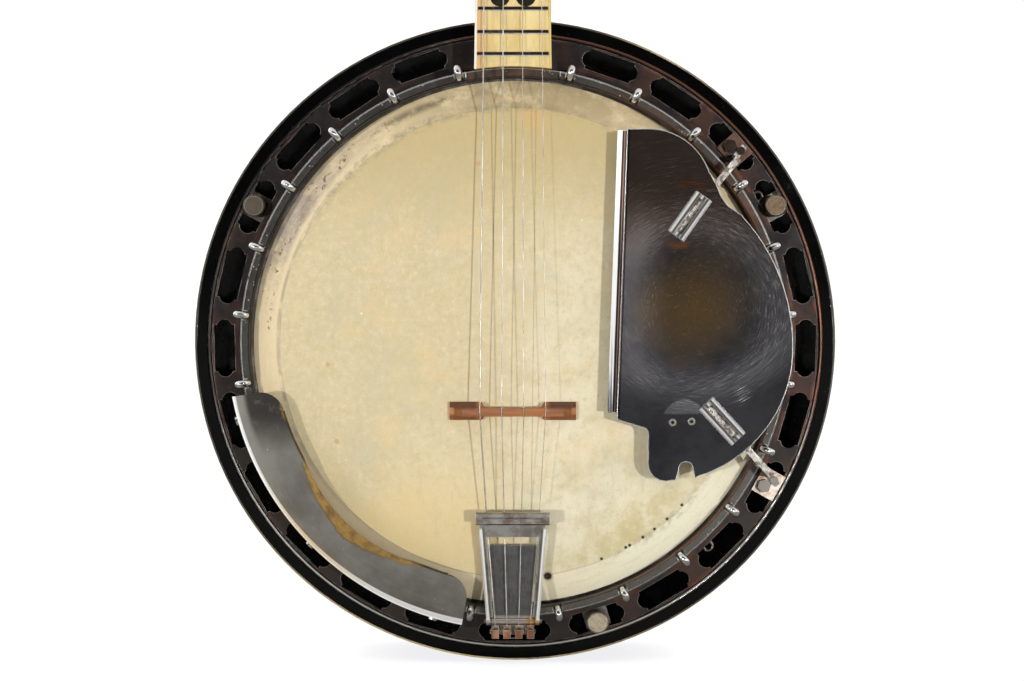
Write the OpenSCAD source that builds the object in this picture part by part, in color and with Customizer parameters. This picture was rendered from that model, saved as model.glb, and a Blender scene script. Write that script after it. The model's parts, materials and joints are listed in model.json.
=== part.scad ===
// Four-string resonator banjo with an eleven inch head, an armrest and a finger rest.
// Row frame: X across the pot, Z up the neck, -Y out of the playing face.
// The origin is the centre of the head's playing surface. Units are millimetres.
// Every part is drawn in the pot frame (x across, y up the neck, z out of the playing face)
// and turned into the row frame by pot(), so a depth behind the head is a negative z.

/* [Pot] */
// Radius where the raised flat of the head ends
head_flat_r = 124.5; // [122:0.5:126]
// Depth of the sloping rim of the head, behind its flat
head_bevel = 10; // [9:0.1:10.3]
// Height of the tension hoop above the head's flat
hoop_top = 0.2; // [-0.4:0.1:0.8]
// Diameter of the wire of a bracket hook
hook_wire = 4.1; // [3.6:0.1:4.2]
// Angle left free of hooks at the neck
neck_gap = 23.6; // [23:0.1:24]
// Angle left free of hooks at the tailpiece
tail_gap = 18.5; // [18:0.1:19]
// Outside radius of the flange
flange_r = 167.5; // [167:0.1:167.6]

/* [Resonator] */
// Outside radius of the resonator
resonator_r = 174.6; // [173.6:0.1:176]
// Depth of the resonator's back face behind the head
resonator_back_z = -92; // [-96:0.5:-91]
// Radius of the rounded back edge
resonator_edge = 11; // [9:0.5:11.5]

/* [Neck] */
// Vibrating string length from the nut to the point the frets are set out from
scale_length = 584.2; // [570:0.1:600]
// Number of frets
fret_count = 19; // [17:1:19]
// Width of the bound fingerboard at the pot
board_w_pot = 40.9; // [40:0.1:41.5]
// Width of the bound fingerboard at the nut
board_w_nut = 29; // [28:0.1:31]
// Sideways offset of the neck and string line from the pot axis
line_x = -0.8; // [-1.5:0.1:0]
// Backward lean of the neck from the plane of the head
neck_pitch = 2.5; // [2.3:0.1:2.6]
// Backward tilt of the peghead from the neck
peghead_tilt = 12; // [10:0.5:14]

/* [Strings and bridge] */
// Height of the bridge above the head
bridge_h = 15.9; // [15.4:0.1:16.5]
// Distance of the bridge below the centre of the head
bridge_y = -35.8; // [-40:0.1:-34]
// Distance between neighbouring strings at the bridge
bridge_spacing = 11.5; // [11:0.1:12]
// Distance between neighbouring strings at the nut
nut_spacing = 7.8; // [7.4:0.1:8]

/* [Hidden] */

$fn = 48;
round_fn = 180;

// Clearances
gap = 0.05;
running = 0.04;

// Pot: radii and depths
head_r = 139.9;
head_t = 0.5;
collar_bottom = -16.1;
flesh_r = 144;
hoop_in_r = 141.3;
hoop_r = 146;
hoop_bottom = -11.05;
hoop_neck_half = 25;
hoop_neck_top = -2.2;
ring_in_r = 121.5;
rim_in_r = 125.5;
rim_r = 137;
rim_foot_r = 138.6;
rim_top = -12.2;
rim_bottom = -70;
flange_top = -26;
flange_t = 3;
flange_bottom = flange_top - flange_t;
flange_hub_r = 144.3;

// Hooks and the openings between them
hooks_per_side = 12;
first_hook = -90 + tail_gap / 2;
hook_step = (180 - tail_gap / 2 - neck_gap / 2) / (hooks_per_side - 1);
hook_r = 148.6;
hook_bend = 2.3;
hook_wire_r = hook_wire / 2;
hook_bend_z = -1.4;
opening_mid_r = 158.1;
opening_depth = 11.2;
opening_w = 25.4;
opening_end_r = 4.3;
tail_opening_extra = 8;

function hook_angle(k) = first_hook + hook_step * k;
function opening_angle(k) = first_hook + hook_step * (k + 0.5);
hook_angles = [for (k = [0 : hooks_per_side - 1]) each [hook_angle(k), 180 - hook_angle(k)]];
opening_angles = [for (k = [0 : hooks_per_side - 2]) each [opening_angle(k), 180 - opening_angle(k)]];
thumb_angles = [opening_angle(7), 180 - opening_angle(7), opening_angle(0)];
thumb_r = 159;

// Rods through the pot
rod_depths = [-38, -58];
rod_r = 4.75;
rod_thread_r = 3;
rod_bore_depth = 12;
lag_end_y = 158;

// Resonator
wall_in_r = flange_r + 0.4;
wall_top = -28;
wall_bottom = -80;
back_t = 8;
slot_bottom = -51;
lug_top = -31;
lug_t = 3;
lug_half_w = 6.8;
lug_in_r = 150.5;
lug_leg_t = 3;
lug_leg_bottom = -62;
lug_screw_depths = [-42, -54];
thread_r = 2.5;

// Neck
nut_y = 541.7;
nut_len = 5.9;
board_end_y = 144;
board_bottom = -1.6;
board_top = 3.9;
binding_w = 1.25;
cone_z = board_bottom - gap;
heel_bottom = -72;
heel_half_top = 20.3;
heel_half_bottom = 13.5;
heel_arc_y = 214;
heel_arc_z = -62.5;
heel_arc_r = 48;
heel_flat_y = heel_arc_y - heel_arc_r;
heel_cap_t = 2;
fret_bead_r = 1.24;
fret_tang = 0.6;
marker_r = 5.3;
truss_r = 2.5;
truss_z = -8.6;
truss_start_y = 205;

function board_w(y) = board_w_pot + (board_w_nut - board_w_pot) * (y - board_end_y) / (nut_y - board_end_y);
function fret_y(n) = nut_y - scale_length * (1 - pow(2, -n / 12));

// Peghead frame: y along the peghead, z out of its front, origin at the top of the nut
peghead_y = nut_y + nut_len + 0.1;
peghead_z = 0.4;
overlay_t = 1.5;
peghead_t = 14;
peg_x = [-17, 17, -19, 19];
peg_y = [50, 50, 97, 97];

// Geared pegs
gear_module = 0.4;
sun_teeth = 12;
planet_teeth = 12;
ring_teeth = 36;
tooth_reach = 0.72 * gear_module;
tooth_root = 0.36;
tooth_mid = 0.25;
tooth_tip = 0.11;
gear_low = -24;
gear_high = -19;
planet_orbit = gear_module * (sun_teeth + planet_teeth) / 2;
ring_root_r = gear_module * (ring_teeth / 2 + 1.1);
case_r = 9;
case_back = -27.2;
case_cavity_top = -16.2;
peg_tube_r = 4.7;
post_r = 3;
post_top = 16;
string_hole_z = 8;
carrier_r = 6.6;
planet_pin_r = 1;
shaft_r = 2;
button_r = 9.5;
button_half_t = 4;

// Strings, from the bass side on the left to the treble side on the right
string_r = [0.38, 0.3, 0.22, 0.17];
nut_string_z = 5.4;
pressure_y = -91.9;
pressure_z = 9.55;
anchor_y = -149.6;
anchor_z = 9.05;
anchor_spacing = 6.2;
loop_half = 2.5;
loop_y = -153.4;
loop_z = 7.7;

function string_at(n, spacing) = (n - 1.5) * spacing;
function bridge_top(n) = [string_at(n, bridge_spacing), bridge_y, bridge_h];
function nut_top(n) = from_neck([string_at(n, nut_spacing), nut_y + nut_len - 0.2, nut_string_z]);

// Tailpiece
tail_pin_y = -147.3;
tail_pin_z = 6.6;
tail_pin_r = 1;
tail_roll_r = 2;
tail_roll_half = 12;
tail_half_bottom = 14;
tail_half_top = 18;
rail_w = 3.8;
lid_tilt = 3.6;
lid_under = 0.7;
lid_t = 1.7;
lid_len = 50;
plate_bottom = 5.4;
plate_t = 1.2;
plate_top_y = -106.8;
strap_half = 7;
strap_t = 1.25;
strap_bottom = plate_bottom - gap - strap_t;
strap_y = -153.2;
strap_turn_z = -31.9;

// Armrest: the shell is a band of a torus
arm_crest_r = 134.5;
arm_crest_z = -6.2;
arm_r = 20;
arm_t = 1.2;
arm_lip_z = 3.2;
arm_lip_r = arm_crest_r + sqrt(arm_r * arm_r - (arm_lip_z - arm_crest_z) * (arm_lip_z - arm_crest_z));
arm_in_r = 126;
arm_start = 190.7;
arm_end = 259.4;
arm_corner = 12;
arm_waist_angle = 228;
arm_waist_r = 90;
arm_waist_reach = 129.3;
arm_clamp_angles = [for (k = [1, 3, 5]) 180 - opening_angle(k - 1)];

// Finger rest
rest_bottom = 14;
rest_t = 1.2;
rest_top = rest_bottom + rest_t;
rest_edge_w = 5;
rest_edge_drop = 3;
rest_left = [48.9, -36];
rest_edge_len = 148;
rest_edge_lean = 2;
big_arc_c = [44.5, -1.5];
big_arc_r = 101.4;
low_arc_c = [76, -2.5];
low_arc_r = big_arc_r - 31.5;
top_arc_c = [70, 79];
top_arc_r = 33.7;
lobe_c = [79.5, -62.5];
lobe_r = 9.5;
channel_len = 25;
channel_w = 9.4;
channel_h = 2.6;
slot_len = 21;
slot_w = 3.9;
channel_up = [91.7, 67, 54.6];
channel_low = [108.9, -40.3, -47.5];
arm_up_dir = 50;
arm_low_dir = -47.5;
strip_half = 1.7;
strip_t = 1.4;
strip_top = rest_bottom - gap;
strip_bend = 38.8;
strip_foot = 43;
strip_end = 51;
foot_screw_t = 47.5;
clamp_bolt_t = 46;
clamp_bolt_off = 6;
bracket_top = flange_top + 1.55;
foot_top = bracket_top + gap + strip_t;
bracket_half_w = 7.5;
bracket_in_r = 151.7;
bracket_out_r = 164.8;
rivets = [[82.9, -40.9], [92.8, -40.4]];

// ---------- helpers ----------

// Turns a shape drawn in the pot frame into the row frame.
module pot() {
  rotate([90, 0, 0]) children();
}

// Pot frame, moved sideways onto the string line.
module on_line() {
  pot() translate([line_x, 0, 0]) children();
}

// Leans a part of the neck back about the pot end of the fingerboard.
module leaning() {
  pot() translate([0, board_end_y, board_bottom]) rotate([-neck_pitch, 0, 0])
    translate([0, -board_end_y, -board_bottom]) children();
}

// Neck frame: leaning, and on the string line.
module on_neck() {
  leaning() translate([line_x, 0, 0]) children();
}

// Peghead frame.
module at_peghead() {
  on_neck() translate([0, peghead_y, peghead_z]) rotate([-peghead_tilt, 0, 0]) children();
}

module at_peg(i) {
  at_peghead() translate([peg_x[i], peg_y[i], 0]) children();
}

// A plain cylinder from z_low to z_high.
module post(r, z_low, z_high) {
  translate([0, 0, z_low]) cylinder(r = r, h = z_high - z_low);
}

// A flat ring about the pot axis.
module ring(r_in, r_out, z_low, z_high) {
  difference() {
    translate([0, 0, z_low]) cylinder(r = r_out, h = z_high - z_low, $fn = round_fn);
    translate([0, 0, z_low - 1]) cylinder(r = r_in, h = z_high - z_low + 2, $fn = round_fn);
  }
}

// A box given by its two corners.
module block(low, high) {
  translate(low) cube(high - low);
}

// A hexagonal prism, given by its width across the flats.
module hex(flats, z_low, z_high) {
  translate([0, 0, z_low]) cylinder(r = flats / sqrt(3), h = z_high - z_low, $fn = 6);
}

// A round bar between two points.
module bar(a, b, r) {
  d = b - a;
  len = norm(d);
  translate(a)
    rotate([0, acos(d[2] / len), atan2(d[1], d[0])])
      cylinder(r = r, h = len, $fn = 24);
}

// Points on an arc, from angle a0 to a1 in n steps.
function arc(c, r, a0, a1, n) = [
  for (i = [0 : n])
    let (a = a0 + (a1 - a0) * i / n)
    c + r * [cos(a), sin(a)]
];

// Front view of the heel, wider at the fingerboard than at the back.
module heel_front(extra) {
  polygon([
    [-heel_half_top - extra, cone_z + 1],
    [heel_half_top + extra, cone_z + 1],
    [heel_half_bottom + extra, heel_bottom - heel_cap_t - 1],
    [-heel_half_bottom - extra, heel_bottom - heel_cap_t - 1]
  ]);
}

// The space that the heel needs, seen along the neck.
module heel_room(extra, y_low, y_high) {
  translate([line_x, y_high, 0])
    rotate([90, 0, 0])
      linear_extrude(height = y_high - y_low) heel_front(extra);
}

// ---------- pot ----------

module rim() {
  color("peru") pot() difference() {
    rotate_extrude($fn = round_fn)
      polygon([
        [rim_in_r, rim_top], [rim_r, rim_top], [rim_r, flange_bottom - gap],
        [rim_foot_r, flange_bottom - gap], [rim_foot_r, rim_bottom], [rim_in_r, rim_bottom]
      ]);
    for (z = rod_depths)
      translate([line_x, 150, z]) rotate([90, 0, 0]) cylinder(r = rod_thread_r + gap, h = 300);
  }
}

module tone_ring() {
  color("goldenrod") pot()
    rotate_extrude($fn = round_fn)
      polygon([
        [ring_in_r, -head_t - 2], [head_flat_r - 1.5, -head_t - gap], [head_flat_r - 0.1, -head_t - gap],
        [head_r - head_t - 0.1, -head_bevel - head_t + 0.05 - gap], [head_r - head_t - 0.1, -16],
        [rim_r + gap, -16], [rim_r + gap, rim_top + gap], [ring_in_r + 2, rim_top + gap]
      ]);
}

module head() {
  color("wheat") pot()
    rotate_extrude($fn = round_fn)
      polygon([
        [0, 0], [head_flat_r, 0], [head_r, -head_bevel], [head_r, collar_bottom],
        [flesh_r, collar_bottom], [flesh_r, collar_bottom - head_t],
        [head_r - head_t, collar_bottom - head_t], [head_r - head_t, -head_bevel - head_t + 0.05],
        [head_flat_r - 0.05, -head_t], [0, -head_t]
      ]);
}

module flesh_hoop() {
  color("silver") pot() ring(head_r + gap, flesh_r, collar_bottom + gap, hoop_bottom - gap);
}

module tension_hoop() {
  notch_floor = hook_bend_z - 1.2;
  notch_half = hook_wire_r + 0.3;
  color("dimgray") pot() difference() {
    rotate_extrude($fn = round_fn)
      polygon([
        [hoop_in_r, hoop_bottom], [hoop_r, hoop_bottom], [hoop_r, hoop_top - 0.6], [hoop_r - 0.6, hoop_top],
        [hoop_in_r + 0.5, hoop_top], [hoop_in_r, hoop_top - 0.5]
      ]);
    for (a = hook_angles)
      rotate([0, 0, a])
        block([hoop_in_r - 2, -notch_half, notch_floor], [hoop_r + 2, notch_half, hoop_top + 1]);
    block([line_x - hoop_neck_half, 120, hoop_neck_top], [line_x + hoop_neck_half, 160, hoop_top + 1]);
  }
}

// One opening of the flange, drawn on the +x side.
module opening(extra) {
  translate([0, 0, flange_bottom - 2]) linear_extrude(height = flange_t + 6) {
    translate([opening_mid_r, 0]) square([opening_depth, opening_w + extra], center = true);
    for (side = [-1, 1])
      translate([opening_mid_r, side * (opening_w + extra - 2.8) / 2]) circle(r = opening_end_r);
  }
}

module flange() {
  color("saddlebrown") pot() difference() {
    union() {
      ring(rim_r + gap, flange_r - 0.5, flange_bottom, flange_top);
      rotate_extrude($fn = round_fn) translate([flange_r - 1.2, flange_top - 0.2]) circle(r = 1.2);
    }
    for (a = opening_angles) rotate([0, 0, a]) opening(0);
    rotate([0, 0, -90]) opening(tail_opening_extra);
    for (a = hook_angles) rotate([0, 0, a])
      translate([hook_r, 0, 0]) post(hook_wire_r + 0.25, flange_bottom - 1, flange_top + 1);
    difference() {
      heel_room(0.4, 130, 175);
      post(flange_hub_r, flange_bottom - 1, flange_top + 1, $fn = round_fn);
    }
  }
}

module bracket_hooks() {
  color("lightgray") pot() for (a = hook_angles) rotate([0, 0, a]) {
    translate([hook_r, 0, 0]) post(hook_wire_r, -42, hook_bend_z);
    translate([hook_r - hook_bend, 0, hook_bend_z])
      rotate([90, 0, 0])
        rotate_extrude(angle = 180) translate([hook_bend, 0]) circle(r = hook_wire_r);
    translate([hook_r - 2 * hook_bend, 0, 0]) post(hook_wire_r, hook_bend_z - 1.15, hook_bend_z);
  }
}

module bracket_nuts() {
  color("gray") pot() for (a = hook_angles)
    rotate([0, 0, a]) translate([hook_r, 0, 0]) difference() {
      hex(8, flange_bottom - gap - 9, flange_bottom - gap);
      post(hook_wire_r + gap, flange_bottom - 12, flange_bottom + 1);
    }
}

// Draws along the pot's long axis: z of the child runs from the neck towards the tailpiece.
module along_pot(y, z) {
  on_line() translate([0, y, z]) rotate([90, 0, 0]) children();
}

module coordinator_rods() {
  reach = rim_in_r - 0.2;
  color("silver") for (z = rod_depths) difference() {
    along_pot(reach, z) cylinder(r = rod_r, h = 2 * reach);
    along_pot(reach + 1, z) cylinder(r = rod_thread_r + gap, h = rod_bore_depth + 1);
    along_pot(-reach + rod_bore_depth, z) cylinder(r = rod_thread_r + gap, h = rod_bore_depth + 1);
  }
}

// Bolts through the tail of the rim. The upper one also holds the tailpiece hanger.
module rod_bolts() {
  reach = rim_in_r - 0.2;
  seats = [140.4, 138.8];
  color("silver") for (i = [0, 1]) {
    along_pot(-reach + rod_bore_depth - 1, rod_depths[i])
      cylinder(r = rod_thread_r, h = seats[i] - reach + rod_bore_depth - 1);
    along_pot(-seats[i], rod_depths[i]) hex(10, 0, 4);
  }
}

// ---------- neck ----------

// Space that the pot takes out of the heel.
module pot_room() {
  post(hoop_r + 0.3, collar_bottom - head_t - 0.2, hoop_top + 10, $fn = round_fn);
  post(rim_r + 0.1, -200, 0, $fn = round_fn);
  post(flange_hub_r + 0.1, flange_bottom - 0.1, flange_top + 0.1, $fn = round_fn);
  post(rim_foot_r + 0.1, -200, flange_bottom - gap, $fn = round_fn);
}

module heel() {
  difference() {
    intersection() {
      heel_room(0, 130, heel_arc_y);
      block([line_x - 30, 130, heel_bottom], [line_x + 30, heel_arc_y, cone_z]);
    }
    translate([line_x - 40, heel_arc_y, heel_arc_z])
      rotate([0, 90, 0]) cylinder(r = heel_arc_r, h = 80, $fn = 96);
    block([line_x - 40, heel_flat_y, heel_bottom - 1], [line_x + 40, heel_arc_y + 1, heel_arc_z]);
  }
}

// Outline of the peghead in its own frame.
module peghead_outline() {
  polygon(concat(
    [[-15, 0], [15, 0]],
    [for (p = arc([34, 14], 17, 180, 128, 6)) p],
    [for (p = arc([20, 44], 13, -30, 62, 8)) p],
    [for (p = arc([37.5, 74], 12.5, 205, 155, 6)) p],
    [for (p = arc([21, 100], 14.5, -40, 80, 10)) p],
    [for (p = arc([12, 128], 10, -10, 90, 6)) p],
    [for (p = arc([0, 137], 4.5, 0, 180, 6)) p],
    [for (p = arc([-12, 128], 10, 90, 190, 6)) p],
    [for (p = arc([-21, 100], 14.5, 100, 220, 10)) p],
    [for (p = arc([-37.5, 74], 12.5, 25, -25, 6)) p],
    [for (p = arc([-20, 44], 13, 118, 210, 8)) p],
    [for (p = arc([-34, 14], 17, 52, 0, 6)) p]
  ));
}

module peghead_slab(z_low, z_high) {
  intersection() {
    at_peghead() translate([0, 0, z_low]) linear_extrude(height = z_high - z_low) peghead_outline();
    on_neck() block([-60, peghead_y, -80], [60, peghead_y + 200, 40]);
  }
}

module truss_pocket() {
  at_peghead() block([-4.5, -14, -12], [4.5, 26, 3]);
}

// Draws along the truss rod: z of the child runs down the neck.
module along_truss(y) {
  on_neck() translate([0, y, truss_z]) rotate([90, 0, 0]) children();
}

module neck() {
  color("peru") difference() {
    union() {
      difference() {
        on_neck() intersection() {
          translate([0, board_end_y - 6, cone_z])
            rotate([-90, 0, 0])
              cylinder(r1 = board_w(board_end_y - 6) / 2 - 0.1, r2 = board_w(peghead_y + 8) / 2 - 0.1,
                h = peghead_y + 14 - board_end_y, $fn = 96);
          block([-60, board_end_y - 6, -45], [60, peghead_y + 8, cone_z]);
        }
        at_peghead() block([-40, -0.5, -overlay_t - gap], [40, 40, 20]);
      }
      leaning() heel();
      peghead_slab(-peghead_t, -overlay_t - gap);
    }
    pot() pot_room();
    for (z = rod_depths) along_pot(lag_end_y + 1, z) cylinder(r = rod_thread_r + gap, h = 60);
    along_truss(peghead_y + 30) cylinder(r = truss_r + gap, h = peghead_y + 30 - truss_start_y);
    truss_pocket();
    for (i = [0 : 3]) at_peg(i) post(peg_tube_r + gap, -peghead_t - 5, 5);
  }
}

// Plan of the fingerboard, inset from the bound edge. The pot end is hollowed to the hoop.
module board_plan(inset) {
  start = board_end_y - 6;
  polygon([
    [-board_w(start) / 2 + inset, start], [board_w(start) / 2 - inset, start],
    [board_w_nut / 2 - inset, nut_y], [-board_w_nut / 2 + inset, nut_y]
  ]);
}

module board_slab(inset) {
  difference() {
    on_neck() translate([0, 0, board_bottom])
      linear_extrude(height = board_top - board_bottom) board_plan(inset);
    pot() post(hoop_r + 0.3, board_bottom - 2, board_top + 2, $fn = round_fn);
  }
}

marker_spots = [[5, 0], [7, 0], [10, 0], [12, -6.8], [12, 6.8], [15, 0], [17, -6.8], [17, 6.8]];

module marker_discs(r, z_low, z_high) {
  for (m = marker_spots) if (m[0] <= fret_count)
    on_neck() translate([m[1], (fret_y(m[0]) + fret_y(m[0] - 1)) / 2, 0]) post(r, z_low, z_high);
}

module fingerboard() {
  color("burlywood") difference() {
    board_slab(binding_w + gap);
    for (n = [1 : fret_count])
      on_neck() block([-30, fret_y(n) - fret_tang / 2 - 0.03, board_top - 1.6],
        [30, fret_y(n) + fret_tang / 2 + 0.03, board_top + 1]);
    marker_discs(marker_r + 0.03, board_top - 1.05, board_top + 1);
  }
}

module fingerboard_binding() {
  y_low = board_end_y - 20;
  y_high = nut_y + 20;
  half_low = board_w(y_low) / 2 - binding_w;
  half_high = board_w(y_high) / 2 - binding_w;
  color("ivory") difference() {
    board_slab(0);
    on_neck() translate([0, 0, board_bottom - 1])
      linear_extrude(height = board_top - board_bottom + 2)
        polygon([[-half_low, y_low], [half_low, y_low], [half_high, y_high], [-half_high, y_high]]);
  }
}

module frets() {
  color("gray") for (n = [1 : fret_count]) {
    half = board_w(fret_y(n)) / 2 - binding_w - 0.3;
    on_neck() translate([0, fret_y(n), 0]) {
      intersection() {
        translate([-half, 0, board_top - 0.3])
          rotate([0, 90, 0]) cylinder(r = fret_bead_r, h = 2 * half);
        block([-half, -3, board_top], [half, 3, board_top + 3]);
      }
      block([-half, -fret_tang / 2, board_top - 1.5], [half, fret_tang / 2, board_top + 0.4]);
    }
  }
}

module fret_markers() {
  color("black") marker_discs(marker_r, board_top - 1, board_top);
}

module nut() {
  half = board_w_nut / 2;
  color("ivory") difference() {
    on_neck() block([-half, nut_y + gap, board_bottom], [half, nut_y + nut_len, nut_string_z + 0.3]);
    for (n = [0 : 3])
      on_neck() translate([string_at(n, nut_spacing), nut_y - 5, nut_string_z - 0.1])
        rotate([-90, 0, 0]) cylinder(r = string_r[n] + 0.25, h = 20);
    for (n = [0 : 3])
      on_neck() block([string_at(n, nut_spacing) - string_r[n] - 0.2, nut_y - 5, nut_string_z - 0.1],
        [string_at(n, nut_spacing) + string_r[n] + 0.2, nut_y + 15, nut_string_z + 3]);
  }
}

module peghead_overlay() {
  color("black") difference() {
    peghead_slab(-overlay_t, 0);
    truss_pocket();
    for (i = [0 : 3]) at_peg(i) post(peg_tube_r + gap, -5, 5);
    cover_screw_holes();
  }
}

module truss_rod() {
  color("silver") {
    along_truss(peghead_y + 6) cylinder(r = truss_r, h = peghead_y + 5 - truss_start_y);
    along_truss(peghead_y + 11) hex(7, 0, 5);
  }
}

cover_screw_spots = [[0, 31], [-6.5, 5], [6.5, 5]];

module cover_screw_holes() {
  at_peghead() for (p = cover_screw_spots) translate([p[0], p[1], 0]) post(0.85, -8, 5);
}

module truss_rod_cover() {
  color("black") difference() {
    at_peghead() translate([0, 0, gap]) linear_extrude(height = 1.5)
      polygon(concat([[-9, 1.5], [9, 1.5]], arc([0, 31], 4.5, 10, 170, 8)));
    cover_screw_holes();
  }
}

module truss_cover_screws() {
  color("silver") at_peghead() for (p = cover_screw_spots) translate([p[0], p[1], 0]) {
    post(0.8, -overlay_t + 0.1, 1.6);
    difference() {
      post(1.7, 1.6, 2.5);
      block([-2, -0.25, 2.1], [2, 0.25, 3]);
    }
  }
}

module heel_cap() {
  cap_top = heel_bottom - gap;
  color("ivory") difference() {
    leaning() intersection() {
      heel_room(0, 130, heel_flat_y);
      block([line_x - 30, 130, cap_top - heel_cap_t], [line_x + 30, heel_flat_y, cap_top]);
    }
    pot() pot_room();
  }
}

module neck_lag_bolts() {
  color("silver") for (z = rod_depths)
    along_pot(lag_end_y, z) cylinder(r = rod_thread_r, h = lag_end_y - rim_in_r + rod_bore_depth - 1);
}

// ---------- geared pegs ----------

// One straight-flanked tooth of an outside gear, pointing along +x.
module tooth(pitch_r, tip_r, root_r) {
  polygon([
    [root_r - 0.3, -tooth_root], [pitch_r, -tooth_mid], [tip_r, -tooth_tip],
    [tip_r, tooth_tip], [pitch_r, tooth_mid], [root_r - 0.3, tooth_root]
  ]);
}

// An outside gear of the given teeth, turned by phase degrees.
module spur(teeth, phase) {
  pitch_r = gear_module * teeth / 2;
  root_r = pitch_r - 1.1 * gear_module;
  circle(r = root_r);
  for (i = [0 : teeth - 1])
    rotate([0, 0, phase + i * 360 / teeth]) tooth(pitch_r, pitch_r + tooth_reach, root_r);
}

// The teeth of the ring gear, pointing inwards.
module ring_teeth_plan() {
  pitch_r = gear_module * ring_teeth / 2;
  for (i = [0 : ring_teeth - 1])
    rotate([0, 0, i * 360 / ring_teeth])
      polygon([
        [ring_root_r + 0.3, -tooth_root], [pitch_r, -tooth_mid], [pitch_r - tooth_reach, -tooth_tip],
        [pitch_r - tooth_reach, tooth_tip], [pitch_r, tooth_mid], [ring_root_r + 0.3, tooth_root]
      ]);
}

module peg_housings() {
  color("silver") for (i = [0 : 3]) at_peg(i) {
    difference() {
      union() {
        post(peg_tube_r, -peghead_t - 1, 1.2);
        post(case_r, case_back, -peghead_t - gap);
      }
      post(post_r + running, case_cavity_top - 1, 3);
      post(ring_root_r, case_back + 1.4, case_cavity_top);
      post(shaft_r + running, case_back - 1, case_back + 3);
    }
    translate([0, 0, gear_low]) linear_extrude(height = gear_high - gear_low) ring_teeth_plan();
  }
}

module peg_bushings() {
  color("silver") for (i = [0 : 3]) at_peg(i) difference() {
    union() {
      post(7.2, gap, 0.8);
      hex(11, 0.8, 3.4);
    }
    post(peg_tube_r + gap, -1, 1.3);
    post(post_r + 0.3, 1, 5);
  }
}

// Button, shaft and sun gear turn as one.
module tuner_button(i) {
  color("ivory") at_peg(i) {
    intersection() {
      rotate_extrude() difference() {
        union() {
          translate([0, -43]) square([button_r - 3, 14]);
          translate([0, -40]) square([button_r, 8]);
          translate([button_r - 3, -40]) circle(r = 3);
          translate([button_r - 3, -32]) circle(r = 3);
        }
        translate([-20, -60]) square([20, 60]);
      }
      block([-button_r - 1, -button_half_t, -50], [button_r + 1, button_half_t, -20]);
    }
    post(3.6, -30, case_back - 0.4);
    post(shaft_r, -35, gear_high - 0.5);
    translate([0, 0, gear_low]) linear_extrude(height = gear_high - gear_low) spur(sun_teeth, 0);
  }
}

module tuner_post(i) {
  color("silver") at_peg(i) {
    difference() {
      union() {
        post(post_r, case_cavity_top - 1, post_top);
        post(carrier_r, -18.4, case_cavity_top - 0.15);
      }
      translate([0, 10, string_hole_z]) rotate([90, 0, 0]) cylinder(r = 0.9, h = 20);
    }
    for (side = [-1, 1]) translate([side * planet_orbit, 0, 0]) post(planet_pin_r, gear_low - 0.4, -17);
  }
}

module planet_gear(i, side) {
  color("goldenrod") at_peg(i) translate([side * planet_orbit, 0, gear_low])
    linear_extrude(height = gear_high - gear_low) difference() {
      spur(planet_teeth, 180 / planet_teeth);
      circle(r = planet_pin_r + running);
    }
}

// ---------- strings and bridge ----------

// A point of the neck frame, in the pot frame.
function from_neck(p) =
  let (y = p[1] - board_end_y, z = p[2] - board_bottom)
  [
    p[0],
    board_end_y + y * cos(neck_pitch) + z * sin(neck_pitch),
    board_bottom - y * sin(neck_pitch) + z * cos(neck_pitch)
  ];

// A point of the peghead frame, in the neck frame.
function from_peghead(p) = [
  p[0],
  peghead_y + p[1] * cos(peghead_tilt) + p[2] * sin(peghead_tilt),
  peghead_z - p[1] * sin(peghead_tilt) + p[2] * cos(peghead_tilt)
];

// Outer strings go to the near pegs and inner strings to the far pegs.
string_peg = [0, 2, 3, 1];

// Where a string leaves the inner side of its post.
function post_point(n) =
  let (i = string_peg[n], side = sign(peg_x[i]))
  from_neck(from_peghead([peg_x[i] - side * (post_r + 0.9), peg_y[i] - 1, string_hole_z]));

module strings() {
  color("silver") for (n = [0 : 3]) {
    r = string_r[n];
    anchor = [string_at(n, anchor_spacing), anchor_y, anchor_z];
    press = [string_at(n, 9.2), pressure_y, pressure_z];
    on_line() {
      bar(nut_top(n), post_point(n), r);
      bar(bridge_top(n), nut_top(n), r);
      bar(press, bridge_top(n), r);
      bar(anchor, press, r);
      for (p = [nut_top(n), bridge_top(n), press, anchor]) translate(p) sphere(r = r + 0.01, $fn = 24);
      for (side = [-1, 1]) {
        corner = [anchor[0] + side * loop_half, loop_y + 1.6, loop_z];
        low = [anchor[0] + side * loop_half, loop_y, loop_z];
        bar(anchor, corner, r);
        bar(corner, low, r);
        for (p = [corner, low]) translate(p) sphere(r = r + 0.01, $fn = 24);
      }
      bar([anchor[0] - loop_half, loop_y, loop_z], [anchor[0] + loop_half, loop_y, loop_z], r);
    }
  }
}

module bridge() {
  half = 33.5;
  color("sienna") on_line() difference() {
    intersection() {
      translate([0, bridge_y + 10, 0]) rotate([90, 0, 0]) linear_extrude(height = 20)
        polygon([
          [-half, gap], [-16.5, gap], [-16.5, 3.2], [-13, 9.2], [13, 9.2], [16.5, 3.2],
          [16.5, gap], [half, gap], [half, 3.2], [half - 2, 4.6], [27.4, 12.4], [26.6, bridge_h],
          [-26.6, bridge_h], [-27.4, 12.4], [-half + 2, 4.6], [-half, 3.2]
        ]);
      translate([-40, bridge_y, 0]) rotate([90, 0, 90]) linear_extrude(height = 80)
        polygon([
          [-4.8, 0], [4.8, 0], [4.8, 3], [4, 4.2], [2.3, 6], [2.1, bridge_h], [-2.1, bridge_h],
          [-2.3, 6], [-4, 4.2], [-4.8, 3]
        ]);
    }
    for (n = [0 : 3]) translate([string_at(n, bridge_spacing), bridge_y, bridge_h])
      block([-string_r[n] - 0.15, -10, -string_r[n] - 0.3], [string_r[n] + 0.15, 10, 2]);
  }
}

// ---------- tailpiece ----------

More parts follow.
